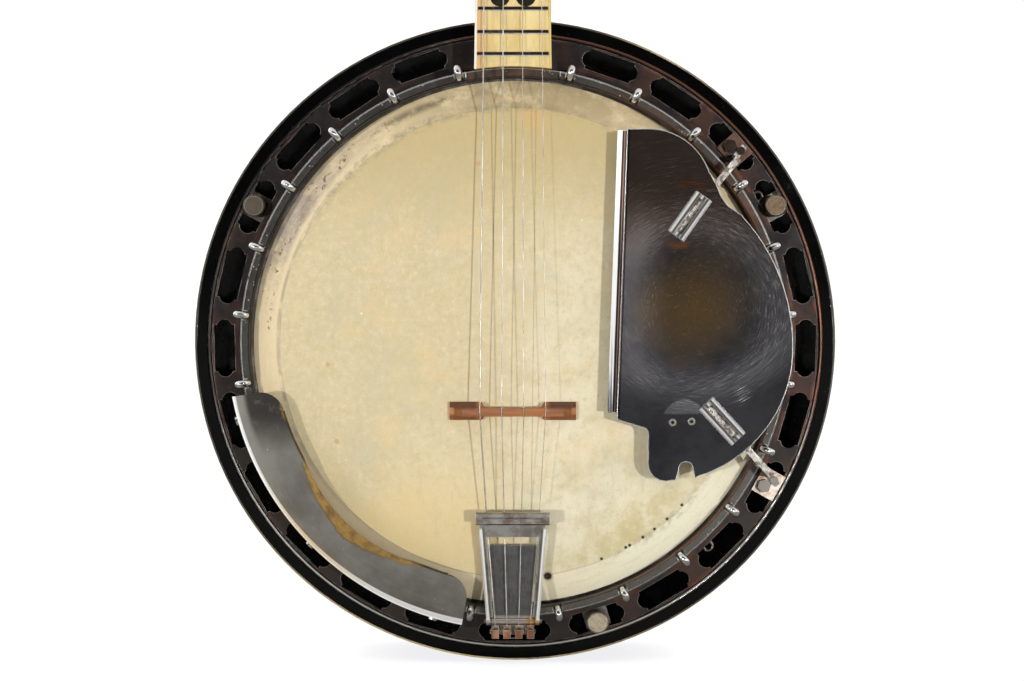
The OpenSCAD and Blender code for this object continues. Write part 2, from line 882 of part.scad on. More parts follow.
// A round bar across the string line.
module cross_bar(r, x_low, x_high, y, z) {
  translate([x_low, y, z]) rotate([0, 90, 0]) cylinder(r = r, h = x_high - x_low);
}

module tailpiece_plate() {
  tabs = [for (n = [0 : 3]) string_at(n, anchor_spacing)];
  color("dimgray") on_line() difference() {
    union() {
      translate([0, 0, plate_bottom]) linear_extrude(height = plate_t)
        polygon([[-9.2, tail_pin_y], [9.2, tail_pin_y], [12.4, plate_top_y], [-12.4, plate_top_y]]);
      cross_bar(tail_roll_r, -tail_roll_half, tail_roll_half, tail_pin_y, tail_pin_z);
      for (x = tabs) {
        block([x - 1.9, -156, plate_bottom], [x + 1.9, tail_pin_y, plate_bottom + plate_t]);
        block([x - 1.9, -156, plate_bottom], [x + 1.9, -154.9, 9.9]);
        block([x - 1.9, -156, 8.8], [x + 1.9, -151.4, 9.9]);
      }
    }
    cross_bar(tail_pin_r + 0.02, -20, 20, tail_pin_y, tail_pin_z);
    block([-strap_half - gap, tail_pin_y - 3, 3], [strap_half + gap, tail_pin_y + 3, plate_bottom]);
  }
}

module tailpiece_pin() {
  color("silver") on_line() cross_bar(tail_pin_r, -15.2, 15.2, tail_pin_y, tail_pin_z);
}

// One side rail of the lid: a strip with a flange folded down its outer edge.
module lid_rail() {
  lean = atan2(tail_half_top - tail_half_bottom, lid_len);
  intersection() {
    translate([tail_half_bottom, 0, 0]) rotate([0, 0, -lean]) rotate([90, 0, 0])
      translate([0, 0, -lid_len - 6]) linear_extrude(height = lid_len + 8)
        polygon([
          [-rail_w, lid_under], [-rail_w, lid_t], [-0.9, lid_t], [0, lid_under + 0.1], [0, -1.6],
          [-1.1, -1.6], [-1.1, lid_under]
        ]);
    block([0, 0, -5], [30, lid_len, 5]);
  }
}

module tailpiece_lid() {
  half = tail_half_top - 0.6;
  color("gainsboro") on_line() {
    translate([0, tail_pin_y, tail_pin_z]) rotate([lid_tilt, 0, 0]) {
      difference() {
        union() {
          lid_rail();
          mirror([1, 0, 0]) lid_rail();
          block([-half, lid_len - 4.4, lid_under], [half, lid_len + 4.4, lid_t]);
          for (side = [-1, 1]) cross_bar(tail_roll_r, side * 13.15 - 0.95, side * 13.15 + 0.95, 0, 0);
        }
        cross_bar(tail_pin_r + running, -20, 20, 0, 0);
        block([-tail_roll_half - 0.1, -4, -4], [tail_roll_half + 0.1, tail_roll_r + 0.6, 4]);
      }
    }
    difference() {
      intersection() {
        cross_bar(3.5, -19.45, 19.45, pressure_y, 13.1);
        block([-30, pressure_y - 3.3, 10.25], [30, pressure_y + 3.3, 15.6]);
      }
      cross_bar(0.5, -16.5, 16.5, pressure_y + 0.4, 15.7);
    }
  }
}

module tailpiece_hanger() {
  leg_y = -rim_foot_r - 0.15;
  color("gray") on_line() difference() {
    union() {
      block([-strap_half, strap_y - 1.4, strap_bottom], [strap_half, -125, strap_bottom + strap_t]);
      block([-strap_half, strap_y - 1.4, strap_turn_z], [strap_half, strap_y, strap_bottom + strap_t]);
      block([-strap_half, strap_y - 1.4, strap_turn_z], [strap_half, leg_y, strap_turn_z + 1.4]);
      block([-strap_half, leg_y - 1.4, -45], [strap_half, leg_y, strap_turn_z + 1.4]);
    }
    translate([0, -130, rod_depths[0]]) rotate([90, 0, 0]) cylinder(r = rod_thread_r + gap, h = 15);
  }
}

// ---------- armrest ----------

// Half section of the armrest shell, between two radii about its crest.
module shell_section(r_out, r_in) {
  difference() {
    translate([arm_crest_r, arm_crest_z]) circle(r = r_out, $fn = 96);
    translate([arm_crest_r, arm_crest_z]) circle(r = r_in, $fn = 96);
    translate([arm_crest_r - 40, -60]) square([80, 60 + arm_lip_z]);
    translate([arm_crest_r - 40, -60]) square([40 + arm_in_r - arm_crest_r, 120]);
  }
}

// Takes the square inner corner off one end of the armrest.
module arm_corner_cut() {
  corner_c = arm_in_r + arm_corner;
  translate([0, 0, -5]) difference() {
    translate([arm_in_r - 3, -1, 0]) cube([arm_corner + 3, arm_corner + 1, 30]);
    translate([corner_c, arm_corner, -1]) cylinder(r = arm_corner, h = 32);
  }
}

module armrest_plate() {
  color("gray") pot() {
    difference() {
      union() {
        rotate([0, 0, arm_start])
          rotate_extrude(angle = arm_end - arm_start, $fn = round_fn) shell_section(arm_r, arm_r - arm_t);
        rotate([0, 0, arm_start])
          rotate_extrude(angle = arm_end - arm_start, $fn = round_fn)
            translate([arm_lip_r - 0.6, arm_lip_z + 0.1]) circle(r = 0.9);
      }
      rotate([0, 0, arm_start]) arm_corner_cut();
      rotate([0, 0, arm_end]) mirror([0, 1, 0]) arm_corner_cut();
      rotate([0, 0, arm_waist_angle])
        translate([arm_waist_reach - arm_waist_r, 0, -5]) cylinder(r = arm_waist_r, h = 30, $fn = round_fn);
    }
  }
}

module armrest_clamps() {
  color("silver") pot() for (a = arm_clamp_angles) rotate([0, 0, a]) {
    difference() {
      union() {
        rotate([0, 0, -1.6]) rotate_extrude(angle = 3.2, $fn = round_fn) intersection() {
          translate([hoop_r + 0.2, -13]) square([2, 30]);
          translate([arm_crest_r, arm_crest_z]) circle(r = arm_r - arm_t - gap, $fn = 96);
        }
        rotate([0, 0, -1.6]) rotate_extrude(angle = 3.2, $fn = round_fn)
          translate([flesh_r + 0.4, -12.9]) square([2.6, 1.7]);
      }
      translate([hoop_r - 5, 0, -4]) rotate([0, 90, 0]) cylinder(r = 1.55, h = 20);
    }
    translate([hoop_r + 0.1, 0, -4]) rotate([0, 90, 0]) cylinder(r = 1.5, h = 5);
    translate([hoop_r + 2.4, 0, -4]) rotate([0, 90, 0]) cylinder(r = 2.6, h = 6);
  }
}

// ---------- finger rest ----------

module rest_outline() {
  edge_top = rest_left + rest_edge_len * [sin(rest_edge_lean), cos(rest_edge_lean)];
  polygon(concat(
    [rest_left + [rest_edge_w, -3.6]],
    [[66, -43.4]],
    arc([66.5, -47], 3.6, 60, 0, 3),
    arc(lobe_c, lobe_r, 180, 290, 8),
    [[84.6, -71.6], [86.2, -66.5]],
    arc([90, -65.3], 3.6, 165, 15, 8),
    [[94.6, -70.4]],
    arc(low_arc_c, low_arc_r, -73, -2, 16),
    arc(big_arc_c, big_arc_r, -1, 43, 12),
    [[111.5, 72.5], [107.8, 77.8], [106, 82.6]],
    arc(top_arc_c, top_arc_r, 20, 88, 10),
    [edge_top + [rest_edge_w, 0.6]]
  ));
}

// The channel that an arm slides in, with its slot.
module at_channel(c) {
  translate([c[0], c[1], 0]) rotate([0, 0, c[2]]) children();
}

module finger_rest_plate() {
  outer = channel_w / 2;
  inner = outer - 1;
  edge = rest_edge_w + 0.4;
  color("darkslategray") pot() difference() {
    union() {
      translate([0, 0, rest_bottom]) linear_extrude(height = rest_t) rest_outline();
      translate([rest_left[0], rest_left[1], 0]) rotate([0, 0, -rest_edge_lean])
        translate([0, rest_edge_len, 0]) rotate([90, 0, 0]) linear_extrude(height = rest_edge_len)
          polygon([
            [0, rest_bottom - rest_edge_drop], [edge, rest_bottom], [edge, rest_top],
            [rest_edge_w, rest_top], [0, rest_top - rest_edge_drop]
          ]);
      for (c = [channel_up, channel_low]) at_channel(c) rotate([90, 0, 90])
        translate([0, 0, -channel_len / 2]) linear_extrude(height = channel_len)
          polygon([
            [-outer, rest_top - 0.5], [outer, rest_top - 0.5], [outer, rest_top + 0.9],
            [inner, rest_top + channel_h], [-inner, rest_top + channel_h], [-outer, rest_top + 0.9]
          ]);
    }
    for (c = [channel_up, channel_low]) at_channel(c)
      block([-slot_len / 2, -slot_w / 2, rest_bottom - 1], [slot_len / 2, slot_w / 2, rest_top + 5]);
    for (p = rivets) translate([p[0], p[1], 0]) post(1.3, rest_bottom - 1, rest_top + 1);
  }
}

// A strip bent from under the plate, over the hoop and down to the flange, drawn along +x.
module arm_strip() {
  difference() {
    translate([0, strip_half, 0]) rotate([90, 0, 0]) linear_extrude(height = 2 * strip_half)
      polygon([
        [-12, strip_top], [strip_bend + 0.5, strip_top], [strip_foot + 0.5, foot_top],
        [strip_end, foot_top], [strip_end, foot_top - strip_t], [strip_foot - 0.9, foot_top - strip_t],
        [strip_bend - 0.9, strip_top - strip_t], [-12, strip_top - strip_t]
      ]);
    translate([foot_screw_t, 0, 0]) post(1.05, -40, 0);
  }
}

module at_arm(up) {
  c = up ? channel_up : channel_low;
  translate([c[0], c[1], 0]) rotate([0, 0, up ? arm_up_dir : arm_low_dir]) children();
}

// The clamp bolt stands beside the arm, on the side away from the middle of the plate.
module at_clamp_bolt(up) {
  at_arm(up) translate([clamp_bolt_t, (up ? 1 : -1) * clamp_bolt_off, 0]) children();
}

module finger_rest_arms() {
  color("silver") pot() for (up = [true, false]) at_arm(up) arm_strip();
}

module finger_rest_brackets() {
  color("tan") pot() for (up = [true, false]) {
    a = opening_angle(up ? 8 : 3) + (up ? -1 : 1);
    half = bracket_half_w;
    difference() {
      rotate([0, 0, a]) block([bracket_in_r, -half, flange_top + gap], [bracket_out_r, half, bracket_top]);
      at_clamp_bolt(up) post(2.05, -40, 0);
      at_arm(up) translate([foot_screw_t, 0, 0]) post(1.05, -40, 0);
    }
    difference() {
      rotate([0, 0, a]) block([150.4, -4, flange_bottom - gap - 1.6], [166, 4, flange_bottom - gap]);
      at_clamp_bolt(up) post(2.05, -40, 0);
    }
  }
}

module finger_rest_fasteners() {
  color("gray") pot() for (up = [true, false]) {
    at_clamp_bolt(up) {
      post(2, -36, bracket_top + 1);
      hex(6.6, bracket_top + gap, bracket_top + 2.6);
      hex(6.6, -34, flange_bottom - gap - 1.65);
    }
    at_arm(up) translate([foot_screw_t, 0, 0]) {
      post(1, flange_top + 0.2, foot_top + 1);
      post(2.3, foot_top + gap, foot_top + 1.8);
    }
  }
  color("silver") pot() for (p = rivets) translate([p[0], p[1], 0]) {
    post(1.25, rest_bottom - 0.6, rest_top + 0.3);
    post(2, rest_top + gap, rest_top + 0.8);
    post(2, rest_bottom - 0.8, rest_bottom - gap);
  }
}

// ---------- resonator ----------

module resonator_wall() {
  color("black") pot() difference() {
    ring(wall_in_r, resonator_r, wall_bottom, wall_top);
    ring(resonator_r - 1, resonator_r + 2, wall_top - 1.2, wall_top + 1);
    difference() {
      heel_room(0.35, 150, 190);
      block([-40, 100, -100], [40, 200, slot_bottom]);
    }
    for (a = thumb_angles, z = lug_screw_depths)
      rotate([0, 0, a]) translate([wall_in_r - 3, 0, z]) rotate([0, 90, 0]) cylinder(r = 1.55, h = 7.4);
  }
}

module resonator_back() {
  corner_r = resonator_r - resonator_edge;
  corner_z = resonator_back_z + resonator_edge;
  back_h = wall_bottom - gap - resonator_back_z;
  color("black") pot() rotate_extrude($fn = round_fn) difference() {
    union() {
      translate([0, resonator_back_z]) square([corner_r, back_h]);
      intersection() {
        translate([corner_r, corner_z]) circle(r = resonator_edge, $fn = 96);
        translate([corner_r - 1, resonator_back_z - 1]) square([resonator_edge + 2, back_h + 1]);
      }
    }
    translate([-1, resonator_back_z + back_t]) square([wall_in_r - 8 + 1, 20]);
    translate([resonator_r - 2, wall_bottom - gap - 2.4]) square([10, 10]);
  }
}

module resonator_binding() {
  color("ivory") pot() {
    difference() {
      ring(resonator_r - 0.95, resonator_r, wall_top - 1.15, wall_top);
      heel_room(0.35, 150, 190);
    }
    intersection() {
      ring(resonator_r - 1.95, resonator_r + 1, wall_bottom - gap - 2.35, wall_bottom - gap);
      post(resonator_r, wall_bottom - 6, wall_bottom, $fn = round_fn);
    }
  }
}

module resonator_lugs() {
  color("darkkhaki") pot() for (a = thumb_angles) rotate([0, 0, a]) difference() {
    intersection() {
      union() {
        block([lug_in_r, -lug_half_w, lug_top - lug_t], [wall_in_r + 5, lug_half_w, lug_top]);
        block([wall_in_r - lug_leg_t, -lug_half_w, lug_leg_bottom], [wall_in_r + 5, lug_half_w, lug_top]);
      }
      post(wall_in_r - gap, lug_leg_bottom - 5, lug_top + 5, $fn = round_fn);
    }
    translate([thumb_r, 0, 0]) post(thread_r + running, -50, 0);
    for (z = lug_screw_depths)
      translate([wall_in_r - 8, 0, z]) rotate([0, 90, 0]) cylinder(r = 1.55, h = 12);
  }
}

module resonator_lug_screws() {
  leg_face = wall_in_r - lug_leg_t;
  color("goldenrod") pot() for (a = thumb_angles, z = lug_screw_depths)
    rotate([0, 0, a]) {
      translate([leg_face - 1, 0, z]) rotate([0, 90, 0]) cylinder(r = 1.5, h = 8);
      difference() {
        translate([leg_face - gap - 1.8, 0, z]) rotate([0, 90, 0]) cylinder(r = 3, h = 1.8);
        translate([leg_face - 3, -4, z - 0.3]) cube([1.6, 8, 0.6]);
      }
    }
}

module thumbscrew(i) {
  knob_top = flange_top + 7.5;
  color("silver") pot() rotate([0, 0, thumb_angles[i]]) translate([thumb_r, 0, 0]) {
    post(thread_r, -41, flange_top + 1);
    rotate_extrude() polygon([
      [0, flange_top + gap], [5.9, flange_top + gap], [5.9, knob_top - 0.8], [5.1, knob_top], [0, knob_top]
    ]);
  }
}

// ---------- nodes ----------

rim();
tone_ring();
head();
flesh_hoop();
tension_hoop();
flange();
bracket_hooks();
bracket_nuts();
coordinator_rods();
rod_bolts();
neck();
fingerboard();
fingerboard_binding();
frets();
fret_markers();
nut();
peghead_overlay();
truss_rod();
truss_rod_cover();
truss_cover_screws();
heel_cap();
neck_lag_bolts();
peg_housings();
peg_bushings();
tuner_button(0);  // tuner_button_1
tuner_button(1);  // tuner_button_2
tuner_button(2);  // tuner_button_3
tuner_button(3);  // tuner_button_4
tuner_post(0);  // tuner_post_1
tuner_post(1);  // tuner_post_2
tuner_post(2);  // tuner_post_3
tuner_post(3);  // tuner_post_4
planet_gear(0, 1);  // planet_gear_1a
planet_gear(0, -1);  // planet_gear_1b
planet_gear(1, 1);  // planet_gear_2a
planet_gear(1, -1);  // planet_gear_2b
planet_gear(2, 1);  // planet_gear_3a
planet_gear(2, -1);  // planet_gear_3b
planet_gear(3, 1);  // planet_gear_4a
planet_gear(3, -1);  // planet_gear_4b
strings();
bridge();
tailpiece_plate();
tailpiece_lid();
tailpiece_pin();
tailpiece_hanger();
armrest_plate();
armrest_clamps();
finger_rest_plate();
finger_rest_arms();
finger_rest_brackets();
finger_rest_fasteners();
resonator_wall();
resonator_back();
resonator_binding();
resonator_lugs();
resonator_lug_screws();
thumbscrew(0);  // thumbscrew_1
thumbscrew(1);  // thumbscrew_2
thumbscrew(2);  // thumbscrew_3
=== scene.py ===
import json
import math

import bpy
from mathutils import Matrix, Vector


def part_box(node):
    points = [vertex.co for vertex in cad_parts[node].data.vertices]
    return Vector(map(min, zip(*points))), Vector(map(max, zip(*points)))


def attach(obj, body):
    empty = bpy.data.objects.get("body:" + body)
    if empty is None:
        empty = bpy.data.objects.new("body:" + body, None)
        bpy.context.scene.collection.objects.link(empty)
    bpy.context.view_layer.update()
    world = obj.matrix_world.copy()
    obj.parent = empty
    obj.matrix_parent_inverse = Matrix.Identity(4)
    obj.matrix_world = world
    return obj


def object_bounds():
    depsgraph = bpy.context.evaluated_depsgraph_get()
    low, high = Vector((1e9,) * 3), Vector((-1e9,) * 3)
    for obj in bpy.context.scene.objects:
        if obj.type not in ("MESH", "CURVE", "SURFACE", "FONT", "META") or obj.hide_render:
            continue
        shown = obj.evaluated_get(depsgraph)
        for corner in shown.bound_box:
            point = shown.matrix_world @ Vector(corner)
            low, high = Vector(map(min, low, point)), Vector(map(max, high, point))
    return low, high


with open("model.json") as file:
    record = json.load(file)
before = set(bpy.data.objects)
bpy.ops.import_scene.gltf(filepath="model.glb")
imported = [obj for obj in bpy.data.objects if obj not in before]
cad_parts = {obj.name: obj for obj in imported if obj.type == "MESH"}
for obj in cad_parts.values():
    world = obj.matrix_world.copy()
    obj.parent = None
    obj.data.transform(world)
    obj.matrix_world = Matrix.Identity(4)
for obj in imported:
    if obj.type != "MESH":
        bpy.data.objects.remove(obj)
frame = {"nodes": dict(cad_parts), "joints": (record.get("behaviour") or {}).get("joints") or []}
CAD_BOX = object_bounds()

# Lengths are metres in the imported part's frame: X across, -Y towards the player, Z up the neck.
MM = 0.001

# The head's flat middle, the ring of hooks and openings, and the strings' middle line
HEAD_FLAT_R = 124.5 * MM
FIRST_HOOK_DEG = -80.75
HOOK_STEP_DEG = 14.45
STRINGS_X = -0.8 * MM

TOWARDS_PLAYER = (0, -1, 0)
RADIAN_DEG = 57.3


def srgb(red, green, blue):
    """An sRGB colour (0 to 255) as the linear colour that Blender works in."""
    def linear(value):
        share = value / 255
        return share / 12.92 if share <= 0.04045 else ((share + 0.055) / 1.055) ** 2.4
    return (linear(red), linear(green), linear(blue), 1.0)


# ---------- fields and finishes

class Field:
    """A value worked out at every point of a surface, with plain arithmetic."""

    def __init__(self, finish, socket):
        self.finish = finish
        self.socket = socket

    def math(self, operation, other=0.0, flip=False):
        """This value and another (a Field or a number) through a Math node; flip swaps them."""
        node = self.finish.node("ShaderNodeMath", operation=operation)
        first, second = (other, self) if flip else (self, other)
        self.finish.put(first, node.inputs[0])
        self.finish.put(second, node.inputs[1])
        return Field(self.finish, node.outputs[0])

    def __add__(self, other):
        return self.math("ADD", other)

    def __sub__(self, other):
        return self.math("SUBTRACT", other)

    def __rsub__(self, other):
        return self.math("SUBTRACT", other, flip=True)

    def __mul__(self, other):
        return self.math("MULTIPLY", other)

    __radd__ = __add__

    def ramp(self, low, high):
        """0 at low and 1 at high, smooth between; low may be the larger one."""
        node = self.finish.node("ShaderNodeMapRange", interpolation_type="SMOOTHSTEP")
        self.finish.put(self, node.inputs["Value"])
        node.inputs["From Min"].default_value = low
        node.inputs["From Max"].default_value = high
        return Field(self.finish, node.outputs["Result"])

    def ridge(self, centre, half_width):
        """1 at centre, falling smoothly to 0 half_width away on both sides."""
        return (self - centre).math("ABSOLUTE").ramp(half_width, 0.0)


class Finish:
    """A node material, with short methods for what the finishes below have in common."""

    def __init__(self, name):
        self.material = bpy.data.materials.new(name)
        self.material.use_nodes = True
        self.tree = self.material.node_tree
        self.tree.nodes.clear()
        coordinates = self.node("ShaderNodeTexCoord")
        self.place = Field(self, coordinates.outputs["Object"])
        split = self.node("ShaderNodeSeparateXYZ")
        self.put(self.place, split.inputs[0])
        self.x, self.y, self.z = (Field(self, out) for out in split.outputs)

    def node(self, kind, **settings):
        made = self.tree.nodes.new(kind)
        for key, value in settings.items():
            setattr(made, key, value)
        return made

    def put(self, value, socket):
        if isinstance(value, Field):
            self.tree.links.new(value.socket, socket)
        else:
            socket.default_value = value

    def radius(self, centre=(0.0, 0.0)):
        """Distance from an axis along Y through centre (x, z)."""
        across = self.x - centre[0]
        along = self.z - centre[1]
        return (across * across + along * along).math("POWER", 0.5)

    def angle(self, centre=(0.0, 0.0)):
        """Degrees round an axis along Y through centre: 0 towards +X, 90 towards +Z."""
        return (self.z - centre[1]).math("ARCTAN2", self.x - centre[0]) * math.degrees(1)

    def stretched(self, stretch, turn_deg=(0, 0, 0)):
        """Coordinates scaled per axis, so that a pattern on them runs along the least scaled one."""
        node = self.node("ShaderNodeMapping")
        self.put(self.place, node.inputs["Vector"])
        node.inputs["Rotation"].default_value = [math.radians(a) for a in turn_deg]
        node.inputs["Scale"].default_value = stretch
        return Field(self, node.outputs[0])

    def polar(self, centre=(0.0, 0.0), round_scale=1.0):
        """Coordinates that follow circles: distance from the axis, then angle times round_scale."""
        node = self.node("ShaderNodeCombineXYZ")
        self.put(self.radius(centre), node.inputs[0])
        self.put(self.angle(centre) * (round_scale / RADIAN_DEG), node.inputs[1])
        return Field(self, node.outputs[0])

    def noise(self, scale, detail=4.0, rough=0.55, place=None, seed=0.0):
        node = self.node("ShaderNodeTexNoise", noise_dimensions="4D")
        self.put(place or self.place, node.inputs["Vector"])
        node.inputs["Scale"].default_value = scale
        node.inputs["Detail"].default_value = detail
        node.inputs["Roughness"].default_value = rough
        node.inputs["W"].default_value = seed
        return Field(self, node.outputs["Fac"])

    def specks(self, scale, size, share=0.3, place=None):
        """Round specks: 1 inside size (of a cell) for about that share of the cells."""
        node = self.node("ShaderNodeTexVoronoi")
        self.put(place or self.place, node.inputs["Vector"])
        node.inputs["Scale"].default_value = scale
        chosen = self.node("ShaderNodeSeparateColor")
        self.put(Field(self, node.outputs["Color"]), chosen.inputs[0])
        return (Field(self, node.outputs["Distance"]).ramp(size, size * 0.4)
                * Field(self, chosen.outputs[0]).ramp(share, share - 0.02))

    def spot(self, centre, reach, core=0.3):
        """1 within core of reach round a point (x, z) on the pot's face, fading to 0 at reach."""
        return self.radius(centre).ramp(reach, reach * core)

    def normal(self):
        return Field(self, self.node("ShaderNodeNewGeometry").outputs["Normal"])

    def rounded(self, radius):
        """The normal of the same shape with its edges rounded off."""
        node = self.node("ShaderNodeBevel", samples=4)
        node.inputs["Radius"].default_value = radius
        return Field(self, node.outputs[0])

    def dot(self, first, second):
        node = self.node("ShaderNodeVectorMath", operation="DOT_PRODUCT")
        self.put(first, node.inputs[0])
        self.put(second, node.inputs[1])
        return Field(self, node.outputs["Value"])

    def edges(self, width, low=0.02, high=0.2):
        """1 along edges, from how far a rounded normal turns away from the true one."""
        return (1.0 - self.dot(self.rounded(width), self.normal())).ramp(low, high)

    def mix(self, share, first, second):
        """The first colour, with that share of the second over it."""
        node = self.node("ShaderNodeMix", data_type="RGBA", clamp_factor=True)
        self.put(share, node.inputs[0])
        self.put(first, node.inputs[6])
        self.put(second, node.inputs[7])
        return Field(self, node.outputs[2])

    def bump(self, height, depth, rounding=None):
        """A normal tilted by a height field depth deep, on a shape rounded off if rounding is given."""
        node = self.node("ShaderNodeBump")
        node.inputs["Distance"].default_value = depth
        self.put(height, node.inputs["Height"])
        if rounding:
            self.put(self.rounded(rounding), node.inputs["Normal"])
        return Field(self, node.outputs[0])

    def turned(self, share, normal):
        """A normal turned that share of the way to the player: for a face flatter than its mesh."""
        node = self.node("ShaderNodeMix", data_type="VECTOR", clamp_factor=True)
        self.put(share, node.inputs[0])
        self.put(normal, node.inputs[4])
        self.put(TOWARDS_PLAYER, node.inputs[5])
        return Field(self, node.outputs[1])

    def done(self, colour, roughness, normal, **inputs):
        """The finished material; further shader inputs are named with _ for a space."""
        shader = self.node("ShaderNodeBsdfPrincipled")
        self.put(colour, shader.inputs["Base Color"])
        self.put(roughness, shader.inputs["Roughness"])
        self.put(normal, shader.inputs["Normal"])
        for name, value in inputs.items():
            self.put(value, shader.inputs[name.replace("_", " ")])
        output = self.node("ShaderNodeOutputMaterial")
        self.tree.links.new(shader.outputs[0], output.inputs["Surface"])
        return self.material


# ---------- the skin head

PIN_HOLES_DEG = (-68, -61.4, -60.3, -56.5, -53, -49, -44)
PIN_HOLE_R = 123.9 * MM
WORN_HOLE = (17.8 * MM, -124.3 * MM)
ORANGE_STAIN = (9.8 * MM, 121 * MM)
TAN_STAIN = (-40 * MM, -106 * MM)
BAND_MIDDLE_R = 134.5 * MM


def skin():
    """Aged calfskin: mottled cream, yellow towards the top, a grimy sloping band, stains and pin holes."""
    f = Finish("aged_calfskin")
    radius, angle = f.radius(), f.angle()
    cloud = f.noise(16, 4)
    mottle = f.noise(90, 8, 0.68)
    grain = f.noise(900, 3, 0.7)
    streak = f.noise(1, 4, 0.6, f.stretched((260, 60, 40), (0, 12, 0)))

    # the flat: yellower at the top, paler to the lower right
    paler = (f.x * 5.0 - f.z * 3.0 + cloud * 1.2).ramp(0.25, 1.3)
    colour = f.mix(paler, srgb(220, 202, 162), srgb(246, 236, 206))
    colour = f.mix(mottle.ramp(0.44, 0.72) * 0.65, colour, srgb(212, 193, 144))
    colour = f.mix(mottle.ramp(0.42, 0.3) * 0.5, colour, srgb(232, 222, 192))
    freckle = f.noise(260, 5, 0.75, seed=11.0)
    colour = f.mix(freckle.ramp(0.5, 0.68) * 0.4, colour, srgb(198, 178, 130))
    colour = f.mix(freckle.ramp(0.5, 0.34) * 0.4, colour, srgb(242, 232, 204))
    green = f.noise(28, 4, 0.6, seed=3.0).ramp(0.48, 0.68)
    colour = f.mix(green * 0.3, colour, srgb(208, 200, 164))
    warm = f.noise(24, 5, 0.65, seed=15.0).ramp(0.5, 0.66)
    cool = f.noise(20, 5, 0.65, seed=18.0).ramp(0.5, 0.66)
    colour = f.mix(warm * 0.45, colour, srgb(236, 206, 150))
    colour = f.mix(cool * 0.4, colour, srgb(200, 194, 164))
    top = f.z.ramp(0.045, 0.118) * (0.55 + cloud * 0.6)
    colour = f.mix(top * 0.95, colour, srgb(196, 174, 120))
    # painted shadow of the armrest on the flat beside it
    armrest_painted_shadow = radius.ramp(0.108, 0.121) * angle.ridge(-128, 34)
    colour = f.mix(armrest_painted_shadow * 0.6, colour, srgb(198, 178, 124))
    colour = f.mix(f.spot(ORANGE_STAIN, 12 * MM) * 0.4, colour, srgb(224, 176, 112))
    low_right = radius.ramp(0.096, 0.118) * angle.ridge(-58, 30) * mottle.ramp(0.3, 0.55)
    colour = f.mix(low_right * 0.7, colour, srgb(208, 190, 130))
    colour = f.mix(f.spot(TAN_STAIN, 60 * MM) * 0.6, colour, srgb(240, 212, 152))
    orange = f.noise(45, 5, 0.6, seed=7.0).ramp(0.6, 0.74)
    colour = f.mix(orange * 0.4, colour, srgb(228, 196, 134))
    colour = f.mix(streak.ramp(0.55, 0.75) * 0.3, colour, srgb(196, 178, 136))

    # the sloping band between the flat and the hoop, smeared in circles
    slope = radius.ramp(HEAD_FLAT_R - 0.8 * MM, HEAD_FLAT_R + 1.2 * MM)
    lower_right = angle.ridge(-50, 75)
    band = f.mix(lower_right, srgb(252, 230, 188), srgb(255, 248, 220))
    smears = f.noise(240, 5, 0.7, f.polar(round_scale=0.03))
    band = f.mix(smears.ramp(0.45, 0.72) * 0.35, band, srgb(224, 202, 160))
    grime = f.noise(70, 6, 0.7, seed=2.0)
    grime_top = angle.ridge(84, 66) * (grime * 1.4).ramp(0.3, 0.8)
    band = f.mix(grime_top * 0.9, band, srgb(176, 156, 116))
    purple = angle.ridge(150, 30) * radius.ramp(0.127, 0.131) * grime.ramp(0.32, 0.56)
    mauve = f.mix(smears.ramp(0.42, 0.6), srgb(196, 180, 168), srgb(158, 146, 134))
    band = f.mix(purple * 0.9, band, mauve)
    dark_smear = radius.ridge(BAND_MIDDLE_R, 3.6 * MM) * angle.ridge(112, 24) * grime.ramp(0.42, 0.56)
    band = f.mix(dark_smear * 0.8, band, srgb(112, 98, 78))
    dabs = f.noise(380, 4, 0.6, seed=21.0).ramp(0.555, 0.60) * angle.ridge(150, 40).ramp(0.0, 0.35)
    dabs = dabs * f.noise(95, 3, 0.5, seed=5.0).ramp(0.48, 0.56)
    dabs = dabs * radius.ridge(BAND_MIDDLE_R, 5.5 * MM).ramp(0.0, 0.4)
    band = f.mix(dabs * 0.85, band, srgb(128, 84, 56))
    colour = f.mix(slope, colour, band)

    # the smudged line where the skin bends over the tone ring
    smudge = radius.ridge(HEAD_FLAT_R + 0.8 * MM, 4.2 * MM) * f.noise(190, 6, 0.75).ramp(0.42, 0.64)
    smudge = smudge * (angle.ridge(118, 56) + angle.ridge(-48, 34) * 0.7 + angle.ridge(70, 40) * 0.4)
    colour = f.mix(smudge * 0.75, colour, srgb(122, 114, 98))
    fine_line = radius.ridge(HEAD_FLAT_R + 0.3 * MM, 0.8 * MM) * f.noise(60, 3).ramp(0.42, 0.6)
    colour = f.mix(fine_line * 0.35, colour, srgb(158, 146, 116))
    bend_line = radius.ridge(HEAD_FLAT_R + 1.4 * MM, 1.6 * MM) * angle.math("ABSOLUTE").ridge(165, 45)
    colour = f.mix(bend_line * f.noise(120, 4, 0.6, seed=9.0).ramp(0.3, 0.55) * 0.6, colour,
                   srgb(150, 138, 124))
